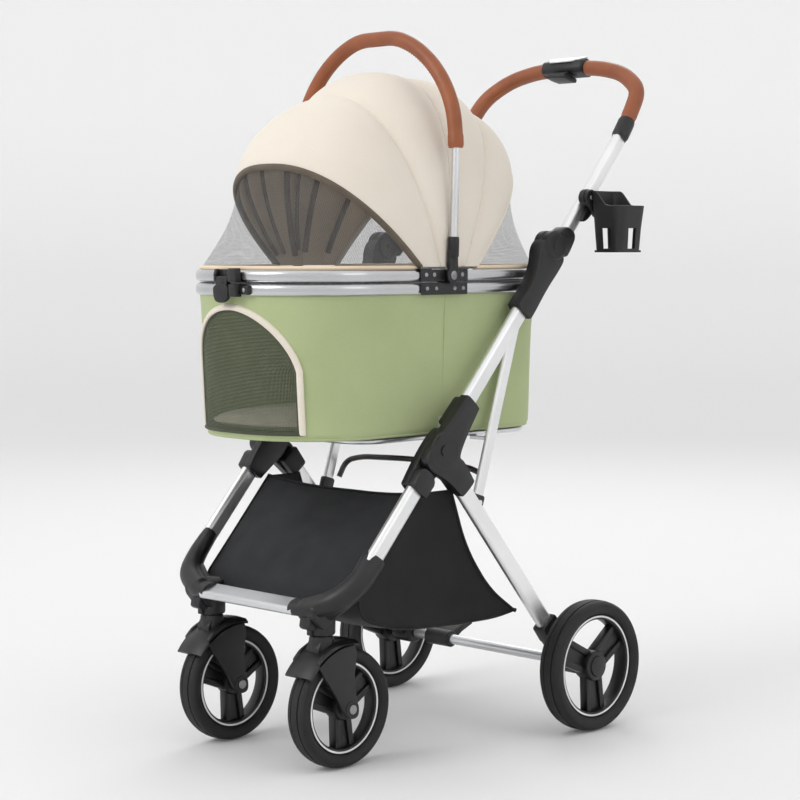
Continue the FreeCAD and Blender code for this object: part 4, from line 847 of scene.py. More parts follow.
mat = joined(skin(180, 26, mat_top, True), skin(180, 14, lambda u, v: mat_top(u, v, -1), True))
bmesh.ops.remove_doubles(mat, verts=mat.verts[:], dist=1e-5)
bmesh.ops.recalc_face_normals(mat, faces=mat.faces[:])
mat = as_piece(mat, "mat", linen, "carrier", ["cushion"], 60)
welt([Vector((p.x * 0.999, p.y, mat_middle.z)) for p in rims], 0.0022, "mat_welt", linen, "carrier",
     8)

# ---- rails, hinges and latches ------------------------------------------------------------------------
# Two stacked aluminium hoops: the carrier hangs from the lower one, and the upper one is split
# into a front and a rear lid that turn on a common pin at each side.
rail_satin = brushed("rail_satin", (0.58, 0.585, 0.595), 0.24, (1, 1, 14))
for node in ("lower_rail", "front_upper_rail", "rear_upper_rail"):
    repaint(node, rail_satin)
repaint("side_hinges", black_moulding)
axis_y, axis_z = -0.034, rail_top - 0.009
strap_x = 0.162 + 0.0020


def off_face(face_y, way, z, *pairs):
    """Points of a fitting on a rail's end face: so far out from it, and so far above z."""
    return [(face_y + way * out, z + up) for out, up in pairs]


for lid, way, x in (("front_lid", -1, strap_x + 0.0002), ("rear_lid", 1, strap_x + 0.0022)):
    long = 0.060 if way < 0 else 0.036
    shapes = [slab(axis_y + way * 0.0075, axis_y + way * long, rail_top - 0.0176, rail_top - 0.0004, 0.1622, x,
                   0.002, 0.0006),
              plate(off_face(axis_y, way, rail_top, (long - 0.022, -0.0010), (long - 0.001, -0.0010),
                             (long + 0.004, 0.0004), (long - 0.022, 0.0012)), 0.1560, x, 0, 0.0004),
              barrel(0.0086, x - 0.0016, x, axis_y, axis_z, 0.0005, 36)]
    as_piece(mirror_x(joined(*shapes)), lid + "_strap", black_moulding, lid)
    dots = [turned([(0, x + 0.0018), (0.0021, x + 0.0014), (0.0033, x), (0, x - 0.0002)],
                   (0, axis_y + way * (long - d), axis_z + 0.001), 20) for d in (0.0280 if way < 0 else 0.0225, 0.0115)]
    as_piece(mirror_x(joined(*dots)), lid + "_rivets", bolt_steel, lid)
    face_y = front_y if way < 0 else rear_y
    cheek = off_face(face_y, way, rail_top, (0.0004, -0.0165), (0.0090, -0.0165), (0.0095, -0.0060),
                     (0.0070, 0.0010), (0.0004, 0.0010))
    base = [plate(cheek, -0.0175, -0.0128, 0.0012, 0.0010), plate(cheek, 0.0128, 0.0175, 0.0012, 0.0010),
            slab(face_y + way * 0.0004, face_y + way * 0.0016, rail_top - 0.0168, rail_top + 0.0006,
                 -0.0150, 0.0150, 0, 0.0003),
            slab(face_y + way * 0.0003, face_y + way * 0.0120, rail_top - 0.0175, rail_top + 0.0022,
                 0.0176, 0.0330, 0.0015, 0.0012),
            barrel(0.0021, -0.0180, 0.0180, face_y + way * 0.006, rail_top - 0.013, 0.0004, 20)]
    as_piece(joined(*base), lid + "_latch_base", black_moulding, lid, [lid + "_fittings"])
    spine = plate(off_face(face_y, way, rail_top, (0.0024, -0.0090), (0.0090, -0.0090), (0.0100, -0.0200),
                           (0.0090, -0.0350), (0.0072, -0.0425), (0.0040, -0.0425), (0.0024, -0.0360)),
                  -0.0122, 0.0122, 0.0015, 0.0012)
    outline = [Vector((0, a, rail_top + b)) for a, b in ((-0.0165, -0.0200), (-0.0165, -0.0360), (-0.0110, -0.0470),
                                                         (0.0110, -0.0470), (0.0165, -0.0360), (0.0165, -0.0200))]
    tongue = plate(rounded(outline), 0, 0.0058, 0, 0.0018)
    for vert in tongue.verts:
        vert.co = Vector((vert.co.y, face_y + way * (0.0058 + vert.co.x), vert.co.z))
    bmesh.ops.recalc_face_normals(tongue, faces=tongue.faces[:])
    end = lid.replace("_lid", "")
    as_piece(joined(spine, tongue), lid + "_latch_lever", black_moulding, end + "_latch",
             [end + "_latch_lever"])
side_plate = slab(axis_y - 0.0595, axis_y + 0.0370, rail_foot + 0.0002, rail_foot + 0.0182, 0.1622, 0.1646,
                  0.002, 0.0008)
as_piece(mirror_x(side_plate), "hinge_plate", black_moulding, "carrier")
for end, face_y, way in (("front", front_y, -1), ("rear", rear_y, 1)):
    catch = [plate(off_face(face_y, way, rail_foot, (-0.0010, -0.0006), (0.0105, -0.0006), (0.0115, 0.0176),
                            (-0.0010, 0.0176)), 0.0176, 0.0330, 0.0015, 0.0012),
             slab(face_y - way * 0.0050, face_y + way * 0.0030, rail_foot + 0.0022, rail_foot + 0.0160,
                  0.0320, 0.0500, 0.003, 0.0010)]
    as_piece(joined(*catch), end + "_catch", black_moulding, "carrier")
    stud = bmesh.new()
    bmesh.ops.create_uvsphere(stud, u_segments=16, v_segments=10, radius=0.0034)
    bmesh.ops.scale(stud, vec=(1, 0.5, 1), verts=stud.verts[:])
    bmesh.ops.translate(stud, verts=stud.verts[:], vec=(0.0415, face_y + way * 0.0032, rail_foot + 0.0090))
    as_piece(stud, end + "_catch_rivet", bolt_steel, "carrier")
dots = [turned([(0, 0.1664), (0.0021, 0.1660), (0.0034, 0.1644), (0, 0.1642)],
               (0, axis_y + d, rail_foot + 0.0095), 20) for d in (-0.047, -0.028, 0.010, 0.028)]
as_piece(mirror_x(joined(*dots)), "hinge_rivets", bolt_steel, "carrier")

# ---- hood ---------------------------------------------------------------------------------------------
# Cream canvas over five hoops, one continuous sheet in front of the fixed middle bow and one
# behind it. Each gore is stretched between two bows and puffs out a little; the lining is taupe.


def hoop_point(shape, turn, out=0.0):
    half, tall, square, lean, y = shape
    z = rail_top + 0.0035
    across = math.copysign(abs(math.cos(turn)) ** square, math.cos(turn))
    up = max(math.sin(turn), 0.0) ** square * (tall + out)
    lean = math.radians(lean)
    return Vector(((half + out) * across, y - up * math.cos(lean), z + up * math.sin(lean)))


BOWS = [(0.153, 0.208, 0.83, 43.0, -0.088), (0.154, 0.255, 0.91, 74.0, -0.049), (0.154, 0.280, 0.85, 98.0, -0.036),
        (0.151, 0.264, 0.82, 114.0, 0.004), (0.150, 0.222, 0.74, 131.0, 0.032)]
PUFF = [0.0165, 0.0150, 0.0135, 0.0125]


def hood_shape(t):
    """The hood's cross hoop at t, counted in gores from the front hoop, and how far it puffs."""
    k = min(int(t), len(BOWS) - 2)
    s = t - k
    shape = tuple(a + (b - a) * s for a, b in zip(BOWS[k], BOWS[k + 1]))
    return shape, PUFF[k] * (1 - (2 * s - 1) ** 2) ** 0.8


cream_canvas = woven("cream_canvas", (0.72, 0.655, 0.565), (0.80, 0.735, 0.645), (520, 260), 0.86, 0.16, 0.22, 7.0)
taupe_lining = woven("taupe_lining", (0.74, 0.60, 0.44), (0.82, 0.68, 0.51), (520, 260), 0.9, 0.14, 0.15)


def hood_place(t0, t1):
    def place(u, v):
        t = t0 + (t1 - t0) * v
        shape, puff = hood_shape(t)
        turn = math.pi * u
        here = hoop_point(shape, turn, 0.0052 + puff * (0.25 + 0.75 * math.sin(turn)))
        here.z += 0.0012 * noise.noise(Vector((here.x * 14, here.y * 14, 2.0))) * math.sin(turn)
        return here
    return place


def shared(item, place, along, share):
    """Cloth over a lid: bakes its place and works out the share of the gore that each point lies in."""
    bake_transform(item)
    tree = kdtree.KDTree(41 * (along + 1))
    for i in range(41):
        for j in range(along + 1):
            tree.insert(place(i / 40, j / along), j)
    tree.balance()
    values = [share(tree.find(v.co)[1] / along) for v in item.data.vertices]


def lean_at(t):
    return hood_shape(t)[0][3]


def span(place, n=60):
    across = sum((place((k + 1) / n, 0.5) - place(k / n, 0.5)).length for k in range(n))
    along = sum((place(0.5, (k + 1) / n) - place(0.5, k / n)).length for k in range(n))
    return across, along


for name, t0, t1, lid in (("front", 0.0, 2.0, "front_lid"), ("rear", 2.0, 4.0, "rear_lid")):
    place = hood_place(t0, t1)
    cloth = facing(skin(120, 72, place), (0, 0.0, 0.72))
    one_face = sum(f.calc_area() for f in cloth.faces)
    hood = as_piece(thick(cloth, 0.0014, 1), name + "_hood", [cream_canvas, taupe_lining], None,
                    [name + "_canopy"], 60)
    l0, l1 = lean_at(t0), lean_at(t1)
    if lid == "front_lid":
        shared(hood, place, 72, lambda v: (lean_at(2.0 * v) - l0) / (l1 - l0))
    else:
        shared(hood, place, 72, lambda v: (lean_at(2.0 + 2.0 * v) - l0) / (l1 - l0))
    across, along = span(place)

# seam cords on the bows, the bound edges and the sleeves inside
binding_brown = woven("binding_brown", (0.095, 0.075, 0.055), (0.15, 0.12, 0.09), (240, 6), 0.9, 0.3, 0.2, 40.0)

rib_tape = woven("rib_tape", (0.125, 0.080, 0.050), (0.185, 0.120, 0.075), (240, 6), 0.9, 0.3, 0.2, 40.0)


def along_hoop(shape, out, a=0.0, b=1.0, count=72):
    return [hoop_point(shape, math.pi * (a + (b - a) * k / count), out) for k in range(count + 1)]


welt(along_hoop(BOWS[0], 0.0030), 0.0050, "front_hoop_binding", binding_brown, "front_lid")
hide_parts("front_hoop")
welt(along_hoop(BOWS[4], 0.0030), 0.0042, "rear_hoop_binding", cream_binding, "rear_lid")
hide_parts("rear_hoop")
for k, body, cad in ((1, "front_bow", "front_bow"), (2, "carrier", "middle_bow"), (3, "rear_bow", "rear_bow")):
    welt(along_hoop(BOWS[k], 0.0056, 0.03, 0.97), 0.0016, "hood_seam_%d" % k, cream_canvas, body,
         8)
    pocket = sleeve(along_hoop(BOWS[k], 0.0, 0.015, 0.985), 0.0046, 12)
    as_piece(pocket, "bow_sleeve_%d" % k, rib_tape, body, [cad])
for k, (t, body) in enumerate(((0.30, "front_lid"), (0.62, "front_bow"), (1.5, "carrier"))):
    shape, puff = hood_shape(t)
    line = along_hoop(shape, 0.0035 + puff * 0.25, 0.02, 0.98)
    line = [p + (p - Vector((0, -0.034, rail_top))).normalized() * (puff * 0.75 * math.sin(math.pi * i / 72) - 0.0036)
            for i, p in enumerate(line)]
    inner = as_piece(sleeve(line, 0.0030, 8), "lining_fold_%d" % k, rib_tape, None)
    share = (lean_at(t) - lean_at(0)) / (lean_at(2) - lean_at(0))
    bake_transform(inner)

# ---- lid netting ------------------------------------------------------------------------------------
# Grey netting closes each lid between its rail and its hoop, sewn into a taupe tape on the rail.


def rail_run(front, y_foot, inset=0.0085):
    """The rail's inner line from one hoop foot round the end to the other."""
    ring = oval(inset, rail_top + 0.0020, 720)
    run = [p for p in ring if (p.y < y_foot if front else p.y > y_foot)]
    if front:
        return run
    turn = [p for p in ring[:361] if p.y > y_foot]
    other = [p for p in ring[361:] if p.y > y_foot]
    return list(reversed(turn)) + list(reversed(other))


def at_share(line, share):
    f = share * (len(line) - 1)
    i = min(int(f), len(line) - 2)
    return line[i].lerp(line[i + 1], f - i)


for name, front, shape, body in (("front", True, BOWS[0], "front_lid"), ("rear", False, BOWS[4], "rear_lid")):
    rail_line = even(rail_run(front, shape[4]))
    hoop_line = even(along_hoop(shape, 0.0))
    if (rail_line[0] - hoop_line[0]).length > (rail_line[0] - hoop_line[-1]).length:
        rail_line = list(reversed(rail_line))

    def place(u, v, rail_line=rail_line, hoop_line=hoop_line):
        a, b = at_share(rail_line, u), at_share(hoop_line, u)
        here = a.lerp(b, v)
        middle = Vector((0, 0.0, rail_top + 0.05))
        sag = 0.012 * math.sin(math.pi * v) * math.sin(math.pi * u)
        return here + (middle - here).normalized() * sag

    cloth = facing(skin(140, 30, place), (0, 0.0, 0.72))
    area = sum(f.calc_area() for f in cloth.faces)
    panel = as_piece(cloth, name + "_net", grey_net, body, [name + "_mesh"], 60)
    across = max(sum((a - b).length for a, b in zip(line, line[1:])) for line in (rail_line, hoop_line))
    along = max((at_share(rail_line, s) - at_share(hoop_line, s)).length for s in (0.3, 0.5, 0.7))
    edge_line = [p + Vector((0, 0, 0.0006)) for p in rail_line]
    welt(edge_line, 0.0030, name + "_net_tape", taupe_lining, body, 8)

# ---- carrying handle -----------------------------------------------------------------------------------
# A slim aluminium hoop on the lid pins, its arch wrapped in stitched tan leather; black sockets
# join it to round eyes outside the lid straps.


def leather(name, dark, light):
    finish, nodes, links, shader = new_finish(name, light, 0.46)
    broad = speckle(nodes, links, 22.0, 4.0)
    tinted(nodes, links, broad, dark, light, shader.inputs["Base Color"])
    place = nodes.new("ShaderNodeTexCoord")
    pores = nodes.new("ShaderNodeTexVoronoi")
    pores.inputs["Scale"].default_value = 520.0
    links.new(place.outputs["Object"], pores.inputs["Vector"])
    raised(nodes, links, pores.outputs["Distance"], shader, 0.22, 0.0004)
    ranged(nodes, links, broad, 0.40, 0.52, shader.inputs["Roughness"])
    return finish


tan_leather = leather("tan_leather", (0.235, 0.062, 0.020), (0.315, 0.092, 0.030))
tan_thread = woven("tan_thread", (0.30, 0.11, 0.045), (0.42, 0.17, 0.075), (4, 60), 0.8, 0.2, 0.1)
carry_x, carry_tall, shoulder = 0.170, 0.360, 0.199
lean = math.radians(91.9)


def carry_at(x, up):
    return Vector((x, axis_y - up * math.cos(lean), axis_z + up * math.sin(lean)))


corners = [carry_at(carry_x, 0), carry_at(carry_x, shoulder * 0.66), carry_at(carry_x, shoulder)]
corners[2] = corners[2] + (corners[1] - corners[2]) * 0.1
for k in range(1, 6):
    a = math.pi / 2 * k / 6
    corners.append(carry_at(carry_x * math.cos(a) ** 1.05, shoulder + (carry_tall - shoulder) * math.sin(a) ** 1.05))
corners += [Vector((-p.x, p.y, p.z)) for p in reversed(corners)]
arch_line = soft_line(corners, 220)
wrap = [p for p in arch_line if p.z > axis_z + shoulder - 0.014]
radii = []
for k in range(len(wrap)):
    end = min(k, len(wrap) - 1 - k)
    r = 0.0106 if end < 1 else (0.0117 if end < 5 else 0.0110)
    radii.append((r, r))
as_piece(sleeve(wrap, radii, 28), "carry_leather", tan_leather, "carry_handle", ["carry_grip"], 50)


def aimed(a, b, aim):
    """The direction of a line from a to b, and the direction square to it that looks at a point."""
    way = (b - a).normalized()
    out = aim - a
    return way, (out - way * out.dot(way)).normalized()


def stitches(line, aim, gap, long, radius, name, body):
    """A row of short raised stitches along a line, laid on the side that faces a point."""
    shapes, run = [], 0.0
    for a, b in zip(line, line[1:]):
        way, out = aimed(a, b, aim)
        run += (b - a).length
        if run > gap:
            run = 0.0
            middle = a + out * radius
            shapes.append(sleeve([middle - way * long / 2, middle + out * 0.0003, middle + way * long / 2],
                                 [(0.0003, 0.0003), (0.00055, 0.00055), (0.0003, 0.0003)], 6))
    return as_piece(joined(*shapes), name, tan_thread, body)


fine = soft_line(corners, 1100)
fine = [p for p in fine if p.z > axis_z + shoulder - 0.008]
inside = Vector((0, axis_y, axis_z + 0.15))
for k, across in enumerate((-0.0024, 0.0024)):
    aside = Vector((0, across, 0))
    stitches([p + aside for p in fine], inside + aside, 0.0052, 0.0034, 0.0107, "carry_stitch_%d" % k, "carry_handle")
seam_line = [a + aimed(a, b, inside)[1] * 0.0108 for a, b in zip(fine, fine[1:])]
as_piece(sleeve(seam_line[::6], 0.0007, 6), "carry_seam", tan_leather, "carry_handle")
carry_satin = brushed("carry_satin", (0.74, 0.75, 0.765), 0.28, (1, 1, 0.02))
repaint("carry_tube", carry_satin)
eye_x = 0.1664
foot = carry_at(carry_x, 0)
up = (carry_at(carry_x, 0.1) - foot).normalized()
socket = [foot + up * z for z in (0.0262, 0.0285, 0.0520, 0.0560)]
shapes = [sleeve(socket, [(0.0070, 0.0072), (0.0082, 0.0086), (0.0082, 0.0086), (0.0076, 0.0078)], 24),
          barrel(0.0120, eye_x, eye_x + 0.0062, axis_y, axis_z, 0.0012, 40),
          plate([(axis_y - 0.0090, axis_z), (axis_y + 0.0090, axis_z), (axis_y + 0.0082, axis_z + 0.036),
                 (axis_y - 0.0082, axis_z + 0.036)], eye_x, eye_x + 0.0066, 0.001, 0.0016)]
as_piece(mirror_x(joined(*shapes)), "carry_socket", black_moulding, "carry_handle",
         ["carry_connectors"])
button = turned([(0, 0.1745), (0.0050, 0.1742), (0.0066, 0.1730), (0, 0.1722)], (0, axis_y, axis_z), 32)
as_piece(mirror_x(button), "carry_button", bolt_steel, "carrier")

# ---- push handle ------------------------------------------------------------------------------------------
# One bent tube in leather grips: black sleeves where the grips begin, and a moulded cap with a
# satin plate over the fold trigger in the middle of the crossbar.
bar_reach, bar_ahead = 0.384, -0.021
places = [(frame_x, 0.024, 0), (frame_x - 0.001, 0.120, 0), (frame_x - 0.004, 0.236, 0),
          (frame_x - 0.008, 0.290, -0.003), (frame_x - 0.014, 0.338, -0.008), (0.124, 0.370, -0.016),
          (0.062, bar_reach, bar_ahead)]
left = [on_line(knee_reach + s, ahead, x) for x, s, ahead in places]
bow_line = left + [Vector((-p.x, p.y, p.z)) for p in reversed(left)]
along_bar = soft_line(bow_line, 600)


def reach_of(p):
    return (p - Vector((p.x, hip.y, hip.z))).dot(lift) - knee_reach


def bar_run(side, keep):
    """The bar's points on one side that pass a test, from the fold joint up on the left side."""
    run = [p for p in along_bar if p.x * side > 0 and keep(p)]
    return run if side > 0 else run[::-1]


sleeve_low, sleeve_top = 0.236, 0.274
leathers, blacks, seams = [], [], []
for side in (1, -1):
    run = bar_run(side, lambda p: abs(p.x) > 0.0435 and reach_of(p) > sleeve_top)[::2]
    leathers.append(sleeve(run, [(0.0126, 0.0126) if k > 2 else (0.0120, 0.0120) for k in range(len(run))], 28))
    line = []
    for a, b in zip(run, run[1:]):
        line.append(a + aimed(a, b, Vector((0, a.y, a.z)) - lift * 0.08)[1] * 0.0124)
    seams.append(sleeve(line, 0.0007, 6))
    run = bar_run(side, lambda p: sleeve_low < reach_of(p) < sleeve_top)
    shares = [k / (len(run) - 1) for k in range(len(run))]
    blacks.append(sleeve(run, [(0.0118 + 0.0018 * min(1, t * 6),) * 2 if t < 0.94 else (0.0130, 0.0130)
                               for t in shares], 28))
as_piece(joined(*leathers), "bar_leather", tan_leather, "handle", ["handle_grips"], 50)
as_piece(joined(*blacks), "bar_sleeves", black_moulding, "handle", ["handle_sleeves"], 50)
as_piece(joined(*seams), "bar_seam", tan_thread, "handle")


def flat_oval(a, b):
    """A point of a unit circle, moved to the section of the flat-oval tube."""
    across, ahead = (math.copysign(abs(c / math.hypot(a, b)) ** 0.62, c) * half
                     for c, half in ((a, 0.0078), (b, 0.0112)))
    return Vector((across, ahead * math.cos(LEAN), -ahead * math.sin(LEAN)))


stem_shapes = []
for side in (1, -1):
    run = bar_run(side, lambda p: reach_of(p) < sleeve_low + 0.008)
    run = [run[0]] + run[6::6] + [run[-1]]
    stem_shapes.append(loft(len(run), 32, lambda i, a, b: run[i] + flat_oval(a, b)))
as_piece(joined(*stem_shapes), "bar_stems", tube_satin, "handle", ["handle_tube"], 50)
middle_bar = on_line(knee_reach + bar_reach, bar_ahead, 0)
tip = math.radians(-41.5 + 28)


def on_bar(bm):
    """A shape drawn round the origin, tipped and set on the crossbar."""
    bmesh.ops.rotate(bm, verts=bm.verts[:], cent=(0, 0, 0), matrix=Matrix.Rotation(tip, 3, "X"))
    bmesh.ops.translate(bm, verts=bm.verts[:], vec=middle_bar)
    return bm


shell = [(-0.0165, -0.0120), (0.0130, -0.0145), (0.0175, -0.0080), (0.0175, 0.0080), (0.0120, 0.0155),
         (-0.0040, 0.0185), (-0.0200, 0.0100), (-0.0220, -0.0040)]
cap = on_bar(plate(shell, -0.0437, 0.0437, 0.003, 0.0035))
for vert in cap.verts:
    far = max(0, (abs(vert.co.x) - 0.020) / 0.0237)
    here = vert.co - Vector((vert.co.x, middle_bar.y, middle_bar.z))
    vert.co -= here * 0.16 * far * far
as_piece(cap, "bar_cap", black_moulding, "handle", ["handle_cap"], 50)
badge = prism([(-0.0405, -0.0010, 0.0196), (0.0405, -0.0010, 0.0196), (0.0225, -0.0226, 0.0075),
               (-0.0225, -0.0226, 0.0075)], (0, 0.0012, -0.0022))
as_piece(on_bar(softened(badge, badge.edges[:], 0.0006)), "bar_plate", bar_satin, "handle")
lever = plate([(-0.0205, -0.0100), (-0.0290, -0.0170), (-0.0285, -0.0225), (-0.0130, -0.0235), (0.0060, -0.0225),
               (0.0060, -0.0160)], -0.0195, 0.0195, 0.002, 0.0020)
as_piece(on_bar(lever), "fold_lever", black_moulding, "trigger", ["fold_trigger"], 50)

# ---- cup holder ----------------------------------------------------------------------------------------------
# A tapered square cup in black plastic with a slot in each wall, higher towards the handle; it
# tilts on a rivet in a saddle behind the handle's left tube.
cup_c = Vector((0.236, 0.262, 0.785))
side, tall, taper = 0.064, 0.094, 0.012
cup_foot = cup_c.z - tall / 2
slot_low, slot_high, slot_half = 0.0055, 0.037, 0.0085


def cup_wall(u, v):
    """The cup's outer face: a rounded square that widens upwards, with its low rim away from the handle."""
    a = TAU * u
    half = (side - taper + taper * v) / 2
    x, y = (math.copysign(abs(c) ** 0.36, c) * half for c in (math.cos(a), math.sin(a)))
    inward = min(max((-x + half * 0.15) / (half * 0.85), 0), 1)
    top = tall - 0.023 * (1 - inward * inward * (3 - 2 * inward))
    level = min(v / 0.40, 1) * slot_high + max((v - 0.40) / 0.60, 0) * (top - slot_high)
    return Vector((cup_c.x + x, cup_c.y + y, cup_foot + level))


def in_slot(f):
    c = f.calc_center_median() - cup_c
    return slot_low < c.z + tall / 2 < slot_high and min(abs(c.x), abs(c.y)) < slot_half


bm = skin(160, 50, cup_wall, True)
bmesh.ops.delete(bm, geom=[f for f in bm.faces if in_slot(f)], context="FACES")
cup = thick(facing(bm, cup_c), 0.0026)
floor = slab(cup_c.y - 0.0255, cup_c.y + 0.0255, cup_foot, cup_foot + 0.0034, cup_c.x - 0.0255, cup_c.x + 0.0255,
             0, 0.0010)
pivot = Vector((0.199, 0.236, 0.822))
link = plate([(pivot.y - 0.0100, pivot.z - 0.006), (pivot.y - 0.004, pivot.z + 0.0110),
              (pivot.y + 0.008, pivot.z + 0.0100), (cup_c.y + 0.004, cup_c.z + tall / 2 - 0.003),
              (cup_c.y + 0.004, cup_c.z + 0.012), (cup_c.y - 0.016, cup_c.z + 0.006)],
             pivot.x, pivot.x + 0.0068, 0.003, 0.0014)
ear = barrel(0.0122, pivot.x, pivot.x + 0.0064, pivot.y, pivot.z, 0.0012, 36)
as_piece(joined(cup, floor, link, ear), "cup_body", black_moulding, "cup", ["cup_holder"], 40)
dot = turned([(0, pivot.x + 0.0082), (0.0030, pivot.x + 0.0079), (0.0042, pivot.x + 0.0064), (0, pivot.x + 0.0060)],
             (0, pivot.y, pivot.z), 24)
as_piece(dot, "cup_rivet", bolt_steel, "cup")
clamp_reach = (pivot.z - hip.z) / math.cos(LEAN)
saddle = spread(on_line(clamp_reach), lift, (0.016, 0.0020), (0.016, 0.0190), (-0.030, 0.0165), (-0.042, 0.0100),
                (-0.042, 0.0020))
clamp = [plate(rounded(saddle, 2), frame_x - 0.0085, frame_x + 0.0125, 0, 0.0025),
         barrel(0.0130, frame_x + 0.006, pivot.x - 0.0004, pivot.y, pivot.z, 0.0016, 36)]
as_piece(joined(*clamp), "cup_collar", black_moulding, "handle", ["cup_clamp"], 50)

# ---- basket ----------------------------------------------------------------------------------------------------
# Coated nylon slung between the front tubes and rear legs: a broad front panel that runs on as
# the sagging floor, and a triangular gusset on each side up to the hip, bound with black tape.
nylon_black = woven("nylon_black", (0.0045, 0.0047, 0.0052), (0.009, 0.0094, 0.0102), (420, 420), 0.62, 0.22,
                    0.05, 20.0)
nylon_grey = woven("nylon_grey", (0.015, 0.016, 0.0175), (0.028, 0.0295, 0.032), (620, 620), 0.85, 0.35,
                   0.12, 30.0)
basket_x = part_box("basket")[1].x
course = soft_line([(0, -0.098, 0.390), (0, -0.170, 0.308), (0, -0.226, 0.246), (0, -0.214, 0.218),
                    (0, -0.150, 0.196), (0, -0.040, 0.189), (0, 0.060, 0.188), (0, 0.106, 0.194)], 80)


def basket_sheet(u, v):
    here = course[int(round(v * 80))].copy()
    x = (2 * u - 1)
    here.x = x * (basket_x - 0.001)
    slack = 1 - abs(x) ** 3
    front_part = min(max((0.42 - v) / 0.30, 0), 1)
    here.y -= 0.010 * slack * math.sin(math.pi * min(v / 0.42, 1)) - 0.006 * slack * (1 - min(v / 0.05, 1))
    here.z -= 0.008 * slack * math.sin(math.pi * min(max((v - 0.38) / 0.62, 0), 1))
    here.z -= 0.010 * slack * (1 - min(v / 0.12, 1))
    fold = noise.noise(Vector((here.x * 9, v * 5, 1.0))) * 0.004
    fold += noise.noise(Vector((here.x * 26, v * 9, 4.0))) * 0.0012
    here.y -= fold * slack * front_part
    here.z += fold * slack * (1 - front_part)
    return here


cloth = facing(skin(96, 80, basket_sheet), (0, 0.0, 0.33))
bag_area = sum(f.calc_area() for f in cloth.faces)
bag_across, bag_along = span(basket_sheet, 80)
sheet_bm = thick(cloth, 0.0016)
sides = []
rear_edge = soft_line([(0, -0.036, 0.390), (0, -0.004, 0.300), (0, 0.048, 0.232), (0, 0.106, 0.192)], 80)
front_run = even(course, 80)


def gusset(side):
    def place(u, v):
        a = at_share(front_run, v)
        b = at_share(rear_edge, v)
        here = a.lerp(b, u)
        bulge = 0.006 * math.sin(math.pi * u) * math.sin(math.pi * min(v * 1.1, 1))
        wrinkle = noise.noise(Vector((here.y * 20, here.z * 8, side * 2.0))) * 0.002 * math.sin(math.pi * u)
        here.x = side * (basket_x - 0.0020 - bulge - abs(wrinkle))
        return here
    return place


gusset_area = 0
for side in (1, -1):
    cloth = facing(skin(40, 60, gusset(side)), (0, 0.0, 0.28))
    gusset_area = sum(f.calc_area() for f in cloth.faces)
    sides.append(thick(cloth, 0.0016))
bag = as_piece(sheet_bm, "basket_sheet", nylon_grey, None, ["basket"], 60)
gussets = [as_piece(bm, "basket_gusset_" + word, nylon_black, None, [], 60)
           for word, bm in zip(("left", "right"), sides)]
tapes = []
for side in (1, -1):
    x = side * (basket_x - 0.0020)
    tapes.append(sleeve([Vector((x, p.y, p.z)) for p in even(rear_edge, 50)], 0.0024, 8))
    tapes.append(sleeve([Vector((x, p.y, p.z)) for p in front_run], 0.0020, 8))
top_tape = [basket_sheet(k / 60, 0) for k in range(61)]
tapes.append(sleeve(top_tape, 0.0026, 8))
back_tape = [basket_sheet(k / 60, 1) for k in range(61)]
tapes.append(sleeve(back_tape, 0.0026, 8))
tape = as_piece(joined(*tapes), "basket_tape", nylon_black, None)
for item in [bag, tape] + gussets:
    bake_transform(item)
max(bag_along, bag_area / bag_across) * 1.001

# ---- studio ------------------------------------------------------------------------------------------------------
# A pale bowl of floor and wall, a large soft key from the front left, and a weaker fill.
wall_white, nodes, links, shader = new_finish("studio_white", (0.80, 0.80, 0.80), 0.9)
shader.inputs["Emission Color"].default_value = (1, 1, 1, 1)
shader.inputs["Emission Strength"].default_value = 0.045
split = nodes.new("ShaderNodeSeparateXYZ")
links.new(nodes.new("ShaderNodeTexCoord").outputs["Object"], split.inputs["Vector"])
rise = nodes.new("ShaderNodeMapRange")
rise.inputs["From Max"].default_value = 1.5
rise.inputs["To Min"].default_value = 0.735
rise.inputs["To Max"].default_value = 0.915
links.new(split.outputs["Z"], rise.inputs["Value"])
links.new(rise.outputs["Result"], shader.inputs["Base Color"])
floor = bmesh.new()
profile = [(0, 0), (5.0, 0), (6.2, 0.12), (7.2, 0.60), (7.8, 1.5), (8.0, 2.8), (8.0, 9.0)]
verts = [floor.verts.new((r, 0, z)) for r, z in profile]
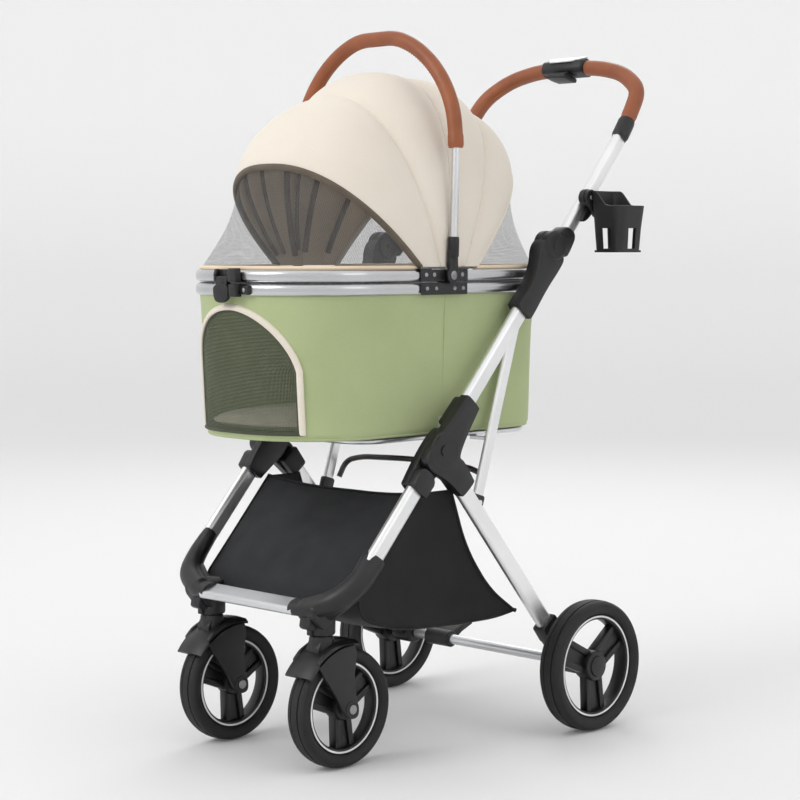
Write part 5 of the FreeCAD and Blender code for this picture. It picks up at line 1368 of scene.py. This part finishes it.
edges = [floor.edges.new(ends) for ends in zip(verts, verts[1:])]
bmesh.ops.spin(floor, geom=verts + edges, cent=(0, 0, 0), axis=(0, 0, 1), angle=TAU, steps=96, use_merge=True)
bmesh.ops.remove_doubles(floor, verts=floor.verts[:], dist=1e-4)
mesh = bpy.data.meshes.new("studio")
floor.to_mesh(mesh)
floor.free()
mesh.polygons.foreach_set("use_smooth", [True] * len(mesh.polygons))
mesh.materials.append(wall_white)
studio = bpy.data.objects.new("studio", mesh)
bpy.context.collection.objects.link(studio)

world = bpy.data.worlds.new("studio_air")
world.use_nodes = True
world.node_tree.nodes["Background"].inputs["Color"].default_value = (1.0, 1.0, 1.0, 1)
world.node_tree.nodes["Background"].inputs["Strength"].default_value = 1.02
bpy.context.scene.world = world
bpy.context.scene.view_settings.view_transform = "Standard"


def soft_light(name, place, target, size, power):
    data = bpy.data.lights.new(name, "AREA")
    data.shape = "RECTANGLE"
    data.size, data.size_y = size
    data.energy = power
    lamp = bpy.data.objects.new(name, data)
    lamp.location = place
    lamp.rotation_euler = (Vector(target) - Vector(place)).to_track_quat("-Z", "Y").to_euler()
    bpy.context.collection.objects.link(lamp)


soft_light("key", (-0.6, -3.6, 3.0), (0, 0, 0.5), (2.0, 2.0), 62)
soft_light("fill", (3.6, 0.6, 2.2), (0, 0, 0.5), (2.0, 2.0), 8)
soft_light("back", (-2.0, 2.6, 2.8), (0, 0, 0.6), (2.0, 1.2), 25)

camera = bpy.data.cameras.new("camera")
camera.lens = 93.555
eye = bpy.data.objects.new("camera", camera)
azimuth, elevation, distance = math.radians(45.49), math.radians(4.20), 3.196
aside, aim_height = 0.01774, 0.51156
aim = Vector((aside * math.cos(azimuth), aside * math.sin(azimuth), aim_height))
toward = Vector((math.sin(azimuth) * math.cos(elevation), -math.cos(azimuth) * math.cos(elevation),
                 math.sin(elevation)))
eye.location = aim + toward * distance
eye.rotation_euler = (-toward).to_track_quat("-Z", "Y").to_euler()
bpy.context.collection.objects.link(eye)
bpy.context.scene.camera = eye
